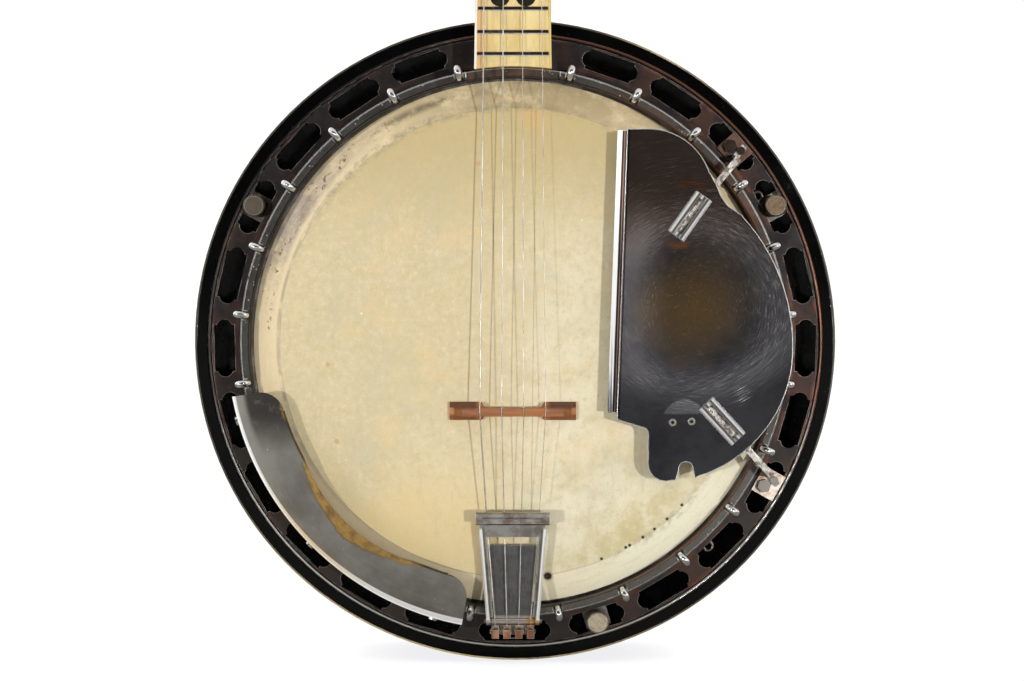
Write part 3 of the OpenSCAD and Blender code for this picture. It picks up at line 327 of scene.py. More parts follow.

    # pin holes along the bend at the lower right, one worn hole and its crack beside the tailpiece; the holes
    # are dark spots, painted shade of the pot inside them
    pins = 0.0
    for degrees in PIN_HOLES_DEG:
        turn = math.radians(degrees)
        pin = (PIN_HOLE_R * math.cos(turn), PIN_HOLE_R * math.sin(turn))
        pins = f.spot(pin, 1.1 * MM, 0.5) + pins
    hole_x, hole_z = WORN_HOLE
    hole = f.spot(WORN_HOLE, 2.3 * MM, 0.75)
    ring = f.spot(WORN_HOLE, 3.4 * MM, 0.6)
    above_crack = f.z - hole_z - 0.5 * MM - (f.x - hole_x) * 0.25
    crack = above_crack.ridge(0.0, 0.25 * MM) * f.x.ramp(0.018, 0.019)
    crack = crack * f.x.ramp(0.040, 0.034)
    colour = f.mix(ring * 0.5, colour, srgb(140, 112, 80))
    colour = f.mix(crack * 0.6, colour, srgb(120, 104, 76))
    # painted shade: the worn hole and the pin holes drawn as dark spots
    colour = f.mix(hole, colour, srgb(30, 22, 16))
    colour = f.mix(pins, colour, srgb(40, 34, 24))

    # pale and orange flecks
    colour = f.mix(f.specks(60, 0.055, 0.2) * 0.7, colour, srgb(250, 246, 232))
    tilted = f.stretched((1, 1, 1), (0, 40, 0))
    colour = f.mix(f.specks(46, 0.09, 0.2, tilted) * 0.6, colour, srgb(206, 150, 84))
    colour = f.mix((grain - 0.5).math("ABSOLUTE") * 1.1, colour, srgb(180, 160, 116))
    bump = f.bump(grain * 0.3 + mottle * 0.7, 0.12 * MM)
    normal = f.turned(slope * (lower_right * 0.7 + 0.1), bump)
    return f.done(colour, mottle * 0.2 + 0.45, normal,
                  Subsurface_Weight=0.05, Subsurface_Scale=0.002, Specular_IOR_Level=0.3)


# ---------- metals

def metal(name, clean, tarnish, cover, rough, edge=None, pits=0.0, rounding=0.25 * MM):
    """Plated metal: tarnish in clouds over the clean colour, fine scratches, pits and worn edges."""
    f = Finish(name)
    cloud = f.noise(70, 6, 0.65)
    fine = f.noise(1400, 3, 0.7)
    colour = f.mix(cloud.ramp(0.62 - cover * 0.5, 0.78 - cover * 0.4), clean, tarnish)
    colour = f.mix(fine.ramp(0.5, 0.8) * 0.25, colour, clean)
    roughness = cloud * 0.16 + fine * 0.12 + (rough - 0.12)
    if pits:
        dots = f.specks(900, 0.35, pits)
        colour = f.mix(dots * 0.7, colour, tarnish)
        roughness = roughness + dots * 0.2
    if edge:
        worn = f.edges(0.35 * MM) * f.noise(260, 4, 0.6, seed=4.0).ramp(0.34, 0.56)
        colour = f.mix(worn, colour, edge)
    return f.done(colour, roughness, f.bump(fine * 0.5 + cloud * 0.5, 0.02 * MM, rounding), Metallic=1.0)


def fret_metal():
    """Fret wire: tarnished nickel silver, with a painted highlight along the sides that face the bridge."""
    f = Finish("fret_nickel_silver")
    cloud = f.noise(70, 6, 0.65)
    fine = f.noise(1400, 3, 0.7, f.stretched((0.3, 1, 1)))
    colour = f.mix(cloud.ramp(0.3, 0.55), srgb(128, 120, 112), srgb(64, 56, 50))
    colour = f.mix(fine.ramp(0.5, 0.8) * 0.25, colour, srgb(150, 144, 136))
    # painted highlight on the faces turned towards the bridge, by their direction
    lit = f.dot(f.normal(), (0, 0, -1)).ramp(0.3, 0.7) * cloud.ramp(0.3, 0.5)
    colour = f.mix(lit, colour, srgb(234, 232, 226))
    return f.done(colour, cloud * 0.16 + fine * 0.12 + 0.14, f.bump(fine, 0.02 * MM, 0.25 * MM),
                  Metallic=1.0 - lit * 0.6)


HOOP_INNER_R = 141.9 * MM
FLANGE_OPENINGS_R = (151.5 * MM, 164.3 * MM)
FLANGE_BEAD_R = 166.3 * MM


def hoop_metal():
    """The tension hoop: nickel worn to dark grey and speckled, browner at the neck, with painted shade along
    its inner edge on the left and worn plate and a painted highlight along its rim.
    """
    f = Finish("tension_hoop_plate")
    radius = f.radius()
    cloud = f.noise(60, 6, 0.7)
    fleck = f.noise(1500, 2, 0.8)
    lower = f.z.ramp(0.02, -0.10)
    base = f.mix(cloud.ramp(0.4, 0.65), srgb(62, 60, 57), srgb(44, 40, 37))
    base = f.mix(lower * 0.5, base, srgb(104, 100, 94))
    base = f.mix(fleck.ramp(0.55, 0.72) * (lower * 0.5 + 0.25), base, srgb(124, 120, 112))
    base = f.mix(f.specks(700, 0.28, 0.1) * 0.8, base, srgb(226, 222, 214))
    right = f.x.ramp(0.02, 0.1)
    upper_right = right * f.z.ramp(-0.02, 0.04)
    at_neck = f.x.math("ABSOLUTE").ramp(0.027, 0.024) * f.z.ramp(0.12, 0.13)
    brown = (upper_right * 0.7 + at_neck) * f.noise(90, 4, 0.6, seed=6.0).ramp(0.36, 0.6)
    base = f.mix(brown * 0.8, base, srgb(92, 66, 52))
    # along the inner edge: painted shade of the gap to the head on the left, copper tarnish on the right
    inner_edge_shade_and_copper = radius.ramp(HOOP_INNER_R + 0.2 * MM, HOOP_INNER_R - 0.2 * MM)
    base = f.mix(inner_edge_shade_and_copper * 0.6, base, f.mix(right, srgb(20, 18, 17), srgb(120, 80, 62)))
    # the rim's outer edges and notches: worn plate and a painted highlight
    outer_part = radius.ramp(HOOP_INNER_R + 0.9 * MM, HOOP_INNER_R + 1.7 * MM)
    kept = f.noise(180, 3, 0.6, seed=8.0).ramp(0.28, 0.42) * outer_part
    bright = f.edges(0.8 * MM, 0.008, 0.08) * kept
    base = f.mix(bright, base, srgb(236, 234, 228))
    roughness = cloud * 0.2 + fleck * 0.25 + 0.2 - bright * 0.12
    return f.done(base, roughness, f.bump(fleck, 0.05 * MM, 0.3 * MM), Metallic=0.85)


def flange_metal():
    """The flange: dark tarnished plate, copper along its rims and lands, its bead painted lit at the bottom
    with a painted highlight, and worn edges with painted highlights at its openings.
    """
    f = Finish("flange_plate")
    radius = f.radius()
    mirrored = f.z.math("ARCTAN2", f.x.math("ABSOLUTE")) * math.degrees(1)
    phase = (mirrored - FIRST_HOOK_DEG) * (1.0 / HOOK_STEP_DEG)
    from_land = (phase - phase.math("ROUND")).math("ABSOLUTE")
    land = from_land.ramp(0.3, 0.1)
    cloud = f.noise(85, 6, 0.7)
    fine = f.noise(1200, 3, 0.7)
    base = f.mix(cloud.ramp(0.36, 0.66), srgb(46, 42, 40), srgb(32, 28, 27))
    lower = f.z.ramp(-0.02, -0.12)
    base = f.mix(lower * 0.45, base, srgb(72, 68, 64))
    inner_r, outer_r = FLANGE_OPENINGS_R
    rims = radius.ridge(inner_r, 1.6 * MM) + radius.ridge(outer_r, 1.3 * MM)
    right = f.x.ramp(-0.05, 0.12)
    copper = (rims * 0.8 + land * 0.35) * f.noise(48, 4, 0.6, seed=3.0).ramp(0.44, 0.6)
    copper = copper * (0.45 + right * 0.55)
    base = f.mix(copper * 0.85, base, srgb(96, 60, 47))
    # the bead: painted lit at the bottom and at the upper right, where it is copper, and painted dark
    # elsewhere
    bead = radius.ramp(FLANGE_BEAD_R - 0.3 * MM, FLANGE_BEAD_R + 0.5 * MM)
    upper_right = (f.x * 6.0 + f.z * 5.0).ramp(0.3, 0.9)
    bead_colour = f.mix(upper_right, srgb(120, 117, 112), srgb(140, 90, 66))
    bead_lit_mask = lower + upper_right * 0.8
    base = f.mix(bead * 0.8, base, f.mix(bead_lit_mask, srgb(30, 28, 28), bead_colour))
    # the openings' edges: worn plate and painted highlights
    inside_bead = radius.ramp(FLANGE_BEAD_R - 0.3 * MM, FLANGE_BEAD_R - 1.3 * MM)
    worn = f.edges(0.7 * MM) * f.noise(110, 4, 0.6, seed=9.0).ramp(0.40, 0.5) * inside_bead
    base = f.mix(worn * 0.9, base, srgb(176, 166, 158))
    # painted highlight along the bead's crest at the bottom
    bead_highlight = radius.ridge(FLANGE_BEAD_R, 0.9 * MM) * lower
    base = f.mix(bead_highlight * 0.8, base, srgb(214, 210, 202))
    roughness = cloud * 0.18 + fine * 0.12 + 0.22 - bead * 0.1
    return f.done(base, roughness, f.bump(cloud * 0.6 + fine * 0.4, 0.06 * MM, 0.3 * MM),
                  Metallic=0.85 - bead_highlight * 0.5)


# The armrest: its middle, its inner edge and lip, and how far its wear reaches in from both
ARMREST_MIDDLE_DEG = -132
ARMREST_INNER_R = 126.9 * MM
ARMREST_LIP_R = 150.25 * MM
INNER_WEAR_R = 130.6 * MM
OUTER_WEAR_R = (139.5 * MM, 147.0 * MM)


def armrest_metal():
    """The armrest: satin nickel, rubbed through to brass across its middle, its outer lip painted white as a
    painted reflection, glowing faintly.
    """
    f = Finish("armrest_plate_metal")
    radius, angle = f.radius(), f.angle()
    cloud = f.noise(38, 5, 0.6)
    brushed = f.noise(420, 4, 0.7, f.polar(round_scale=0.012))
    base = f.mix(cloud.ramp(0.35, 0.7), srgb(124, 122, 115), srgb(100, 96, 90))
    base = f.mix(brushed.ramp(0.5, 0.75) * 0.14, base, srgb(170, 168, 162))
    upper_end = f.z.ramp(-0.062, -0.036) * radius.ramp(0.147, 0.143)
    base = f.mix(upper_end * 0.95, base, srgb(50, 47, 45))
    scuffed = upper_end * f.noise(160, 5, 0.7).ramp(0.52, 0.64)
    base = f.mix(scuffed * 0.4, base, srgb(104, 98, 90))
    ragged = f.noise(70, 5, 0.65, seed=5.0) * 0.008
    middle = angle.ridge(ARMREST_MIDDLE_DEG, 24)
    inner_r = radius + ragged - middle * 8.8 * MM
    inner = inner_r.ramp(INNER_WEAR_R + 0.6 * MM, INNER_WEAR_R - 0.6 * MM)
    outer = (radius - ragged).ramp(*OUTER_WEAR_R) * angle.ridge(ARMREST_MIDDLE_DEG - 4, 20)
    rubbed = f.mix(f.noise(150, 5, 0.7, seed=6.0).ramp(0.4, 0.65), srgb(160, 126, 66), srgb(118, 90, 52))
    base = f.mix(inner * 0.9 + outer * 0.3, base, rubbed)
    rubbed_line = inner_r.ridge(INNER_WEAR_R, 0.9 * MM) * middle
    base = f.mix(rubbed_line * 0.5, base, srgb(88, 62, 40))
    # the outer lip: painted white as a painted reflection, gold where the rubbed brass reaches it
    lip_r = radius + angle.ridge(-98, 60) * 1.8 * MM
    lip = lip_r.ramp(ARMREST_LIP_R - 0.35 * MM, ARMREST_LIP_R + 0.35 * MM)
    base = f.mix(lip, base, f.mix(outer * 0.8, srgb(252, 251, 247), srgb(236, 208, 146)))
    inner_edge = radius.ramp(ARMREST_INNER_R + 0.3 * MM, ARMREST_INNER_R - 0.3 * MM)
    base = f.mix(inner_edge * 0.8, base, srgb(48, 42, 36))
    base = f.mix(f.specks(500, 0.2, 0.05) * 0.5, base, srgb(220, 218, 210))
    roughness = cloud * 0.06 + brushed * 0.1 + 0.38 - lip * 0.2
    flatter = f.dot(f.normal(), TOWARDS_PLAYER).ramp(0.3, 0.6) * (1.0 - lip) * 0.95
    normal = f.turned(flatter, f.bump(brushed, 0.02 * MM))
    # the lip's faint emission is a painted glow
    return f.done(base, roughness, normal, Metallic=1.0 - lip * 0.9,
                  Emission_Color=(1, 1, 1, 1), Emission_Strength=lip * 0.12)


# The finger rest's two channels: x, z and the direction they run in, in degrees
CHANNELS = ((91.7 * MM, 67.0 * MM, 54.6), (108.9 * MM, -40.3 * MM, -47.5))
CHANNEL_LONG = 25.2 * MM
CHANNEL_WIDE = 9.6 * MM
CHANNEL_EDGE = 0.3 * MM


def channel_axes(f, channel):
    """Distances along and across a channel from its centre."""
    x, z, turn_deg = channel
    turn = math.radians(turn_deg)
    along = (f.x - x) * math.cos(turn) + (f.z - z) * math.sin(turn)
    across = (f.z - z) * math.cos(turn) - (f.x - x) * math.sin(turn)
    return along, across


def in_channel(f, channel):
    """1 inside a channel's rectangle."""
    along, across = channel_axes(f, channel)
    long, wide = CHANNEL_LONG / 2, CHANNEL_WIDE / 2
    return (along.math("ABSOLUTE").ramp(long + CHANNEL_EDGE, long - CHANNEL_EDGE)
            * across.math("ABSOLUTE").ramp(wide + CHANNEL_EDGE, wide - CHANNEL_EDGE))


def channel_stripes(f):
    """Painted highlights on the channels' ridges and painted shade in their grooves, which run along them."""
    def stripes(channel):
        across = channel_axes(f, channel)[1]
        ridges = across.math("ABSOLUTE").ridge(4.0 * MM, 1.0 * MM) + across.ridge(0.6 * MM, 0.5 * MM) * 0.7
        grooves = across.math("ABSOLUTE").ridge(2.6 * MM, 0.8 * MM) + across.ridge(-0.8 * MM, 0.9 * MM)
        colour = f.mix(ridges, srgb(150, 146, 142), srgb(252, 252, 251))
        return f.mix(grooves * 0.9, colour, srgb(30, 28, 28))
    upper = f.z.ramp(0.01, 0.02)
    return f.mix(upper, stripes(CHANNELS[1]), stripes(CHANNELS[0]))


# The finger rest: what its rubbing, scratches and haze turn round, three marks, and its rolled edge
RUBBED_CENTRE = (94 * MM, 20 * MM)
ARCS_CENTRE = (70 * MM, 62 * MM)
HAZE_CENTRE = (100 * MM, 30 * MM)
TARNISHED_SPOT = (86 * MM, 57 * MM)
WIPED_SPOT = (89 * MM, -39.5 * MM)
SCUFFED_SPOT = (119 * MM, -27 * MM)
ROLLED_EDGE_X = 50.2 * MM


def mirror_metal():
    """The finger rest: dark polished plate, rubbed in circles, with a brown patch, channels painted as chrome
    with painted highlights and shade, painted highlights along its edges and a painted reflection on its
    rolled edge.
    """
    f = Finish("finger_rest_mirror")
    distance = f.radius(RUBBED_CENTRE)
    cloud = f.noise(34, 5, 0.6)
    rubbing = f.noise(1500, 5, 0.75, f.polar(RUBBED_CENTRE, 0.004))
    arcs = f.noise(1300, 4, 0.75, f.polar(ARCS_CENTRE, 0.003))
    lines = rubbing.ramp(0.5, 0.76) * 0.6 + arcs.ramp(0.54, 0.8) * 0.4
    base = f.mix(cloud.ramp(0.35, 0.7), srgb(92, 91, 95), srgb(66, 65, 69))
    upper = f.z.ramp(0.035, 0.085)
    base = f.mix(upper * 0.75, base, srgb(140, 120, 106))
    patch = (distance + cloud * 0.03).ramp(0.055, 0.02)
    base = f.mix(patch * 0.85, base, srgb(132, 106, 70))
    ring = distance.ridge(0.044, 0.016) * rubbing.ramp(0.3, 0.62)
    base = f.mix(ring * 0.22, base, srgb(140, 134, 132))
    arc_haze = f.radius(HAZE_CENTRE).ridge(0.052, 0.014) * arcs.ramp(0.35, 0.6)
    arc_haze = arc_haze * (f.x - f.z).ramp(0.06, 0.14)
    base = f.mix(arc_haze * 0.45, base, srgb(150, 152, 156))

    # orange tarnish round the upper channel, a wiped dome and a scuff beside the lower one
    smudge = f.noise(70, 4, 0.6, seed=2.0)
    arc = f.radius(CHANNELS[0][:2]).ridge(17 * MM, 4 * MM) * f.z.ramp(0.065, 0.08)
    below = f.radius(TARNISHED_SPOT).ridge(5.5 * MM, 3 * MM) * f.z.ramp(0.056, 0.050)
    base = f.mix(arc * smudge.ramp(0.46, 0.6) * 0.6 + below * 0.8, base, srgb(176, 108, 60))
    left_glow = f.x.ramp(0.085, 0.062) * f.z.ramp(0.09, 0.05) * f.z.ramp(-0.045, -0.01)
    dome = f.radius(WIPED_SPOT) + (f.noise(120, 3, 0.6, seed=4.0) - 0.5) * 3 * MM
    wipe = dome.ramp(11.4 * MM, 10.2 * MM) * f.z.ramp(-37.2 * MM, -36 * MM) * f.x.ramp(0.101, 0.096)
    base = f.mix(wipe * 0.22, base, srgb(150, 152, 156))
    bright_scuff = f.radius(SCUFFED_SPOT).ramp(0.007, 0.001) * arcs.ramp(0.48, 0.62)
    base = f.mix(bright_scuff * 0.6, base, srgb(225, 225, 225))

    # the rolled left edge, which isn't quite upright: painted white as a painted reflection of the left lamp,
    # streaked darker low down, with a dark band beside it
    from_left = f.x - f.z * 0.035 - ROLLED_EDGE_X
    strip = from_left.ramp(2.6 * MM, 2.2 * MM)
    streaks = f.noise(1, 4, 0.7, f.stretched((1400, 60, 18)))
    strip_low = f.z.ramp(0.02, -0.03)
    strip_colour = f.mix(strip_low * streaks.ramp(0.4, 0.55), srgb(240, 240, 240), srgb(92, 92, 98))
    line = from_left.ridge(3.7 * MM, 0.4 * MM) + from_left.ridge(5.4 * MM, 0.4 * MM) * 0.7
    base = f.mix(from_left.ridge(4.0 * MM, 3.0 * MM).ramp(0.0, 0.3) * 0.9, base, srgb(26, 24, 26))
    base = f.mix(line * streaks.ramp(0.35, 0.6), base, srgb(150, 116, 96))
    base = f.mix(strip, base, strip_colour)

    # the channels: painted highlights and painted shade, with less metal there
    channels = in_channel(f, CHANNELS[0]) + in_channel(f, CHANNELS[1])
    base = f.mix(channels, base, channel_stripes(f))
    # painted highlights along the plate's edges
    bright = f.edges(0.9 * MM, 0.01, 0.06) * (1.0 - channels) * (1.0 - strip * strip_low * 0.75)
    base = f.mix(bright, base, srgb(250, 250, 248))
    hazy = distance.ramp(0.075, 0.03) * 0.05 + left_glow * 0.14 + wipe * 0.1
    hazy = hazy + bright_scuff * 0.2 + ring * 0.06
    roughness = lines * 0.2 + hazy + cloud * 0.05 + 0.08 + strip * 0.12 + bright * 0.2
    solid = 0.95 - bright * 0.6 - channels * 0.9
    return f.done(base, roughness, f.bump(lines, 0.012 * MM, 0.35 * MM), Metallic=solid)


def bracket_metal():
    """The finger rest's brackets: the upper one tarnished dark brown, the lower one pale worn plate."""
    f = Finish("finger_rest_bracket_metal")
    upper = f.z.ramp(-0.01, 0.01)
    cloud = f.noise(160, 5, 0.65)
    base = f.mix(cloud.ramp(0.4, 0.65), srgb(226, 214, 200), srgb(158, 122, 98))
    dark = f.mix(cloud.ramp(0.4, 0.65), srgb(96, 70, 58), srgb(58, 46, 42))
    base = f.mix(upper, base, dark)
    base = f.mix(f.edges(0.3 * MM) * 0.7, base, srgb(232, 214, 184))
    return f.done(base, cloud * 0.2 + 0.3, f.bump(cloud, 0.04 * MM, 0.2 * MM), Metallic=0.8)


def arm_metal():
    """The finger rest's arms: bright plate, pitted and peeled down to dark metal."""
    f = Finish("rest_arm_plate")
    pits = f.noise(420, 5, 0.75)
    cloud = f.noise(130, 4, 0.6)
    gone = pits.ramp(0.46, 0.54) * cloud.ramp(0.3, 0.45)
    base = f.mix(cloud, srgb(240, 238, 232), srgb(206, 198, 186))
    base = f.mix(gone * 0.9, base, srgb(84, 70, 58))
    base = f.mix(f.edges(0.3 * MM) * 0.8, base, srgb(250, 249, 246))
    return f.done(base, gone * 0.3 + 0.22, f.bump(pits, 0.12 * MM, 0.3 * MM), Metallic=0.7)


def thumb_metal():
    """The thumbscrews: pale worn discs at the bottom, browner at the right and left, with a bright rim."""
    f = Finish("thumbscrew_metal")
    left = f.x.ramp(0.0, -0.1)
    upper_right = f.x.ramp(0.08, 0.12)
    cloud = f.noise(320, 5, 0.7)
    base = f.mix(cloud.ramp(0.35, 0.7), srgb(200, 188, 164), srgb(160, 146, 122))
    base = f.mix(upper_right * 0.9, base, f.mix(cloud.ramp(0.4, 0.6), srgb(100, 78, 54), srgb(72, 58, 44)))
    base = f.mix(left * 0.92, base, srgb(64, 55, 46))
    base = f.mix(f.specks(900, 0.3, 0.2) * 0.5, base, srgb(100, 82, 62))
    base = f.mix(f.edges(0.7 * MM) * 0.95, base, srgb(232, 228, 216))
    return f.done(base, cloud * 0.25 + 0.34, f.bump(cloud, 0.06 * MM, 0.4 * MM), Metallic=0.75)


# The two rivets beside the finger rest's lower channel, dark in their middles
RIVETS = ((82.9 * MM, -40.9 * MM), (92.8 * MM, -40.4 * MM))


def fastener_metal():
    """The finger rest's bolts and rivets: dark brown on the upper bracket, chrome below."""
    f = Finish("rest_fastener_metal")
    upper = f.z.ramp(0.02, 0.05)
    cloud = f.noise(260, 5, 0.65)
    base = f.mix(upper, f.mix(cloud, srgb(190, 186, 180), srgb(150, 140, 128)), srgb(70, 58, 50))
    base = f.mix(f.edges(0.3 * MM) * 0.7, base, srgb(236, 232, 224))
    for rivet in RIVETS:
        base = f.mix(f.spot(rivet, 1.1 * MM, 0.6), base, srgb(40, 36, 34))
    return f.done(base, cloud * 0.15 + 0.16, f.bump(cloud, 0.03 * MM, 0.3 * MM), Metallic=0.95)


# Heights on the tailpiece: its stain, the top of its rails, its rolled end and its string tabs
STAIN_Z = -92.5 * MM
RAILS_TOP_Z = -97.5 * MM
RAILS_END_Z = -147.3 * MM
ROLL_Z = -144.5 * MM
TABS_Z = -150.15 * MM


def tailpiece_metal(name, top, low):
    """The tailpiece's nickel: grey satin with a brown stain, brushed along its length, with painted
    highlights on its rails and edges and a darker line inside each rail.
    """
    f = Finish(name)
    brushed = f.noise(1, 4, 0.7, f.stretched((3200, 900, 160)))
    cloud = f.noise(120, 5, 0.65)
    base = f.mix(cloud.ramp(0.4, 0.65), top, low)
    base = f.mix(brushed.ramp(0.5, 0.8) * 0.3, base, srgb(176, 174, 170))
    stain = f.z.ridge(STAIN_Z, 5 * MM) * cloud.ramp(0.4, 0.6)
    base = f.mix(stain * 0.6, base, srgb(104, 76, 54))
    roll = f.z.ramp(ROLL_Z + 1 * MM, ROLL_Z - 1 * MM)
    gold = f.x.ramp(5 * MM, 8 * MM)
    base = f.mix(roll * 0.8, base, f.mix(gold, srgb(214, 202, 192), srgb(222, 168, 90)))
    tabs = f.z.ramp(TABS_Z + 0.65 * MM, TABS_Z - 0.65 * MM)
    base = f.mix(tabs, base, f.mix(cloud.ramp(0.35, 0.6), srgb(208, 160, 120), srgb(150, 100, 76)))
    # painted highlights on the rails and edges, and a darker line just inside each rail
    from_edge = (f.x - STRINGS_X).math("ABSOLUTE") - (f.z - RAILS_END_Z) * 0.08 - 14 * MM
    below_top = f.z.ramp(RAILS_TOP_Z + 1 * MM, RAILS_TOP_Z - 1 * MM)
    above_end = f.z.ramp(RAILS_END_Z + 0.3 * MM, RAILS_END_Z + 1.3 * MM)
    rail = from_edge.ramp(-1.9 * MM, -1.6 * MM) * below_top * above_end
    rail_inner_line = from_edge.ridge(-2.5 * MM, 0.8 * MM) * below_top
    base = f.mix(rail_inner_line * 0.6, base, srgb(60, 58, 56))
    bright = f.edges(0.5 * MM) * 0.9 + rail
    base = f.mix(bright, base, srgb(250, 249, 246))
    return f.done(base, cloud * 0.14 + brushed * 0.14 + 0.2, f.bump(brushed, 0.02 * MM, 0.3 * MM),
                  Metallic=1.0 - rail * 0.6)


# ---------- wood, lacquer, plastic, bone

def wood(name, pale, dark, stretch, figure=0.25, rough=0.35, coat=0.3, dirt=None):
    """Varnished wood, its rings stretched per axis, with figure across them and dirt in clouds if given."""
    f = Finish(name)
    rings = f.noise(14, 5, 0.6, f.stretched(stretch))
    pores = f.noise(90, 4, 0.75, f.stretched((14, 14, 0.7)))
    flame = f.noise(1, 2, 0.4, f.stretched((14, 40, 210)))
    colour = f.mix(rings.ramp(0.3, 0.72), pale, dark)
    colour = f.mix(pores.ramp(0.56, 0.8) * 0.45, colour, dark)
    colour = f.mix(flame.ramp(0.4, 0.65) * figure, colour, dark)
    if dirt:
        colour = f.mix(f.noise(60, 5, 0.7, seed=2.0).ramp(0.5, 0.68) * 0.5, colour, dirt)
    height = rings * 0.4 + pores * 0.6
    return f.done(colour, pores * 0.2 + (rough - 0.1), f.bump(height, 0.05 * MM, 0.3 * MM),
                  Coat_Weight=coat, Coat_Roughness=0.18)


def board_wood():
    """The fingerboard: pale maple with grey streaks, orange at its left edge."""
    f = Finish("fingerboard_maple")
    rings = f.noise(16, 5, 0.6, f.stretched((9, 40, 1)))
    pores = f.noise(90, 4, 0.75, f.stretched((14, 14, 0.7)))
    grey = f.noise(1, 5, 0.65, f.stretched((60, 60, 90)), seed=4.0)
    colour = f.mix(rings.ramp(0.3, 0.72), srgb(244, 219, 154), srgb(218, 189, 120))
    colour = f.mix(pores.ramp(0.5, 0.8) * 0.5, colour, srgb(184, 152, 92))
    colour = f.mix(grey.ramp(0.52, 0.72) * 0.45, colour, srgb(196, 186, 152))
    left = f.x.ramp(-0.0125, -0.019)
    colour = f.mix(left * 0.6, colour, srgb(222, 158, 84))
    return f.done(colour, pores * 0.2 + 0.28, f.bump(pores, 0.05 * MM, 0.25 * MM), Coat_Weight=0.25)


def lacquer():
    """Black lacquer with fine swirled scratches, dust, and the edge worn to pale wood here and there."""
    f = Finish("black_lacquer_worn")
    swirl = f.noise(260, 5, 0.8, f.stretched((1, 0.25, 1), (0, 25, 0)))
    dust = f.noise(1500, 2, 0.8)
    mottle = f.noise(55, 6, 0.7)
    base = f.mix(mottle.ramp(0.45, 0.75) * 0.6, srgb(4, 4, 4), srgb(10, 10, 10))
    base = f.mix(f.specks(520, 0.14, 0.08) * 0.5, base, srgb(120, 118, 112))
    chipped = f.edges(0.7 * MM, 0.04, 0.25) * f.noise(95, 4, 0.7, seed=5.0).ramp(0.62, 0.68)
    base = f.mix(chipped, base, srgb(176, 156, 118))
    behind = f.y.ramp(0.035, 0.045)
    scratches = swirl.ramp(0.56, 0.7) * (behind * 0.16 + 0.12)
    roughness = scratches + mottle.ramp(0.4, 0.7) * (behind * 0.1 + 0.05) + dust * 0.04 + 0.07
    height = swirl * 0.5 + mottle * 0.5
    return f.done(base, roughness, f.bump(height, 0.02 * MM, 0.6 * MM),
                  Specular_IOR_Level=behind * 0.45 + 0.25)


def resonator_binding():
    """The resonator's binding: cream plastic, nearly black at the front except towards the bottom and right.
    """
    f = Finish("resonator_binding_plastic")
    angle = f.angle()
    cloud = f.noise(30, 5, 0.65)
    nicks = f.noise(420, 4, 0.7)
    at_front = f.y.ramp(0.034, 0.030)
    shows = angle.ridge(-102, 56) + angle.ridge(62, 14) * 0.6
    dark = at_front * (1.0 - shows * cloud.ramp(0.3, 0.5))
    colour = f.mix(cloud.ramp(0.35, 0.68), srgb(236, 216, 170), srgb(210, 178, 116))
    colour = f.mix(nicks.ramp(0.62, 0.76) * 0.6, colour, srgb(120, 96, 62))
    colour = f.mix(dark * 0.95, colour, srgb(26, 23, 20))
    return f.done(colour, nicks * 0.2 + 0.25, f.bump(nicks, 0.04 * MM, 0.25 * MM))


def binding_plastic(name, fresh, aged):
    """Celluloid binding: clouded, with dirty nicks."""
    f = Finish(name)
    cloud = f.noise(45, 5, 0.65)
    nicks = f.noise(420, 4, 0.7)
    colour = f.mix(cloud.ramp(0.35, 0.68), fresh, aged)
    colour = f.mix(nicks.ramp(0.62, 0.76) * 0.6, colour, srgb(120, 96, 62))
    return f.done(colour, nicks * 0.2 + 0.28, f.bump(nicks, 0.04 * MM, 0.25 * MM), Subsurface_Weight=0.05)


def board_binding():
    """The fingerboard's binding: white on the left edge, gone yellow on the right."""
    f = Finish("fingerboard_binding_plastic")
    right = f.x.ramp(-0.002, 0.002)
    nicks = f.noise(300, 4, 0.7)
    colour = f.mix(right, srgb(246, 240, 224), srgb(226, 194, 118))
    colour = f.mix(nicks.ramp(0.56, 0.74) * 0.5, colour, srgb(190, 150, 90))
    return f.done(colour, nicks * 0.2 + 0.28, f.bump(nicks, 0.04 * MM, 0.2 * MM))


def dark_gloss(name, colour, worn, rough=0.2):
    """Polished black plastic or veneer with hairline scratches."""
    f = Finish(name)
    hair = f.noise(500, 4, 0.8, f.stretched((1, 1, 0.15), (0, 20, 0)))
    cloud = f.noise(70, 5, 0.6)
    base = f.mix(cloud.ramp(0.4, 0.7) * 0.5, colour, worn)
    base = f.mix(f.edges(0.3 * MM) * 0.4, base, worn)
    return f.done(base, hair.ramp(0.5, 0.75) * 0.25 + rough, f.bump(hair, 0.02 * MM, 0.3 * MM),
                  Coat_Weight=0.3)


def ivory(name, pale, aged):
    """Bone or ivory-coloured plastic: faint streaks and a soft glow."""
    f = Finish(name)
    streaks = f.noise(40, 4, 0.6, f.stretched((3, 9, 9)))
    pores = f.noise(900, 3, 0.7)
    colour = f.mix(streaks.ramp(0.35, 0.7), pale, aged)
    colour = f.mix(pores.ramp(0.6, 0.8) * 0.3, colour, aged)
    return f.done(colour, pores * 0.12 + 0.22, f.bump(streaks, 0.03 * MM, 0.3 * MM),
                  Subsurface_Weight=0.1, Subsurface_Scale=0.002, Coat_Weight=0.2)


BRIDGE_Z = -35.8 * MM


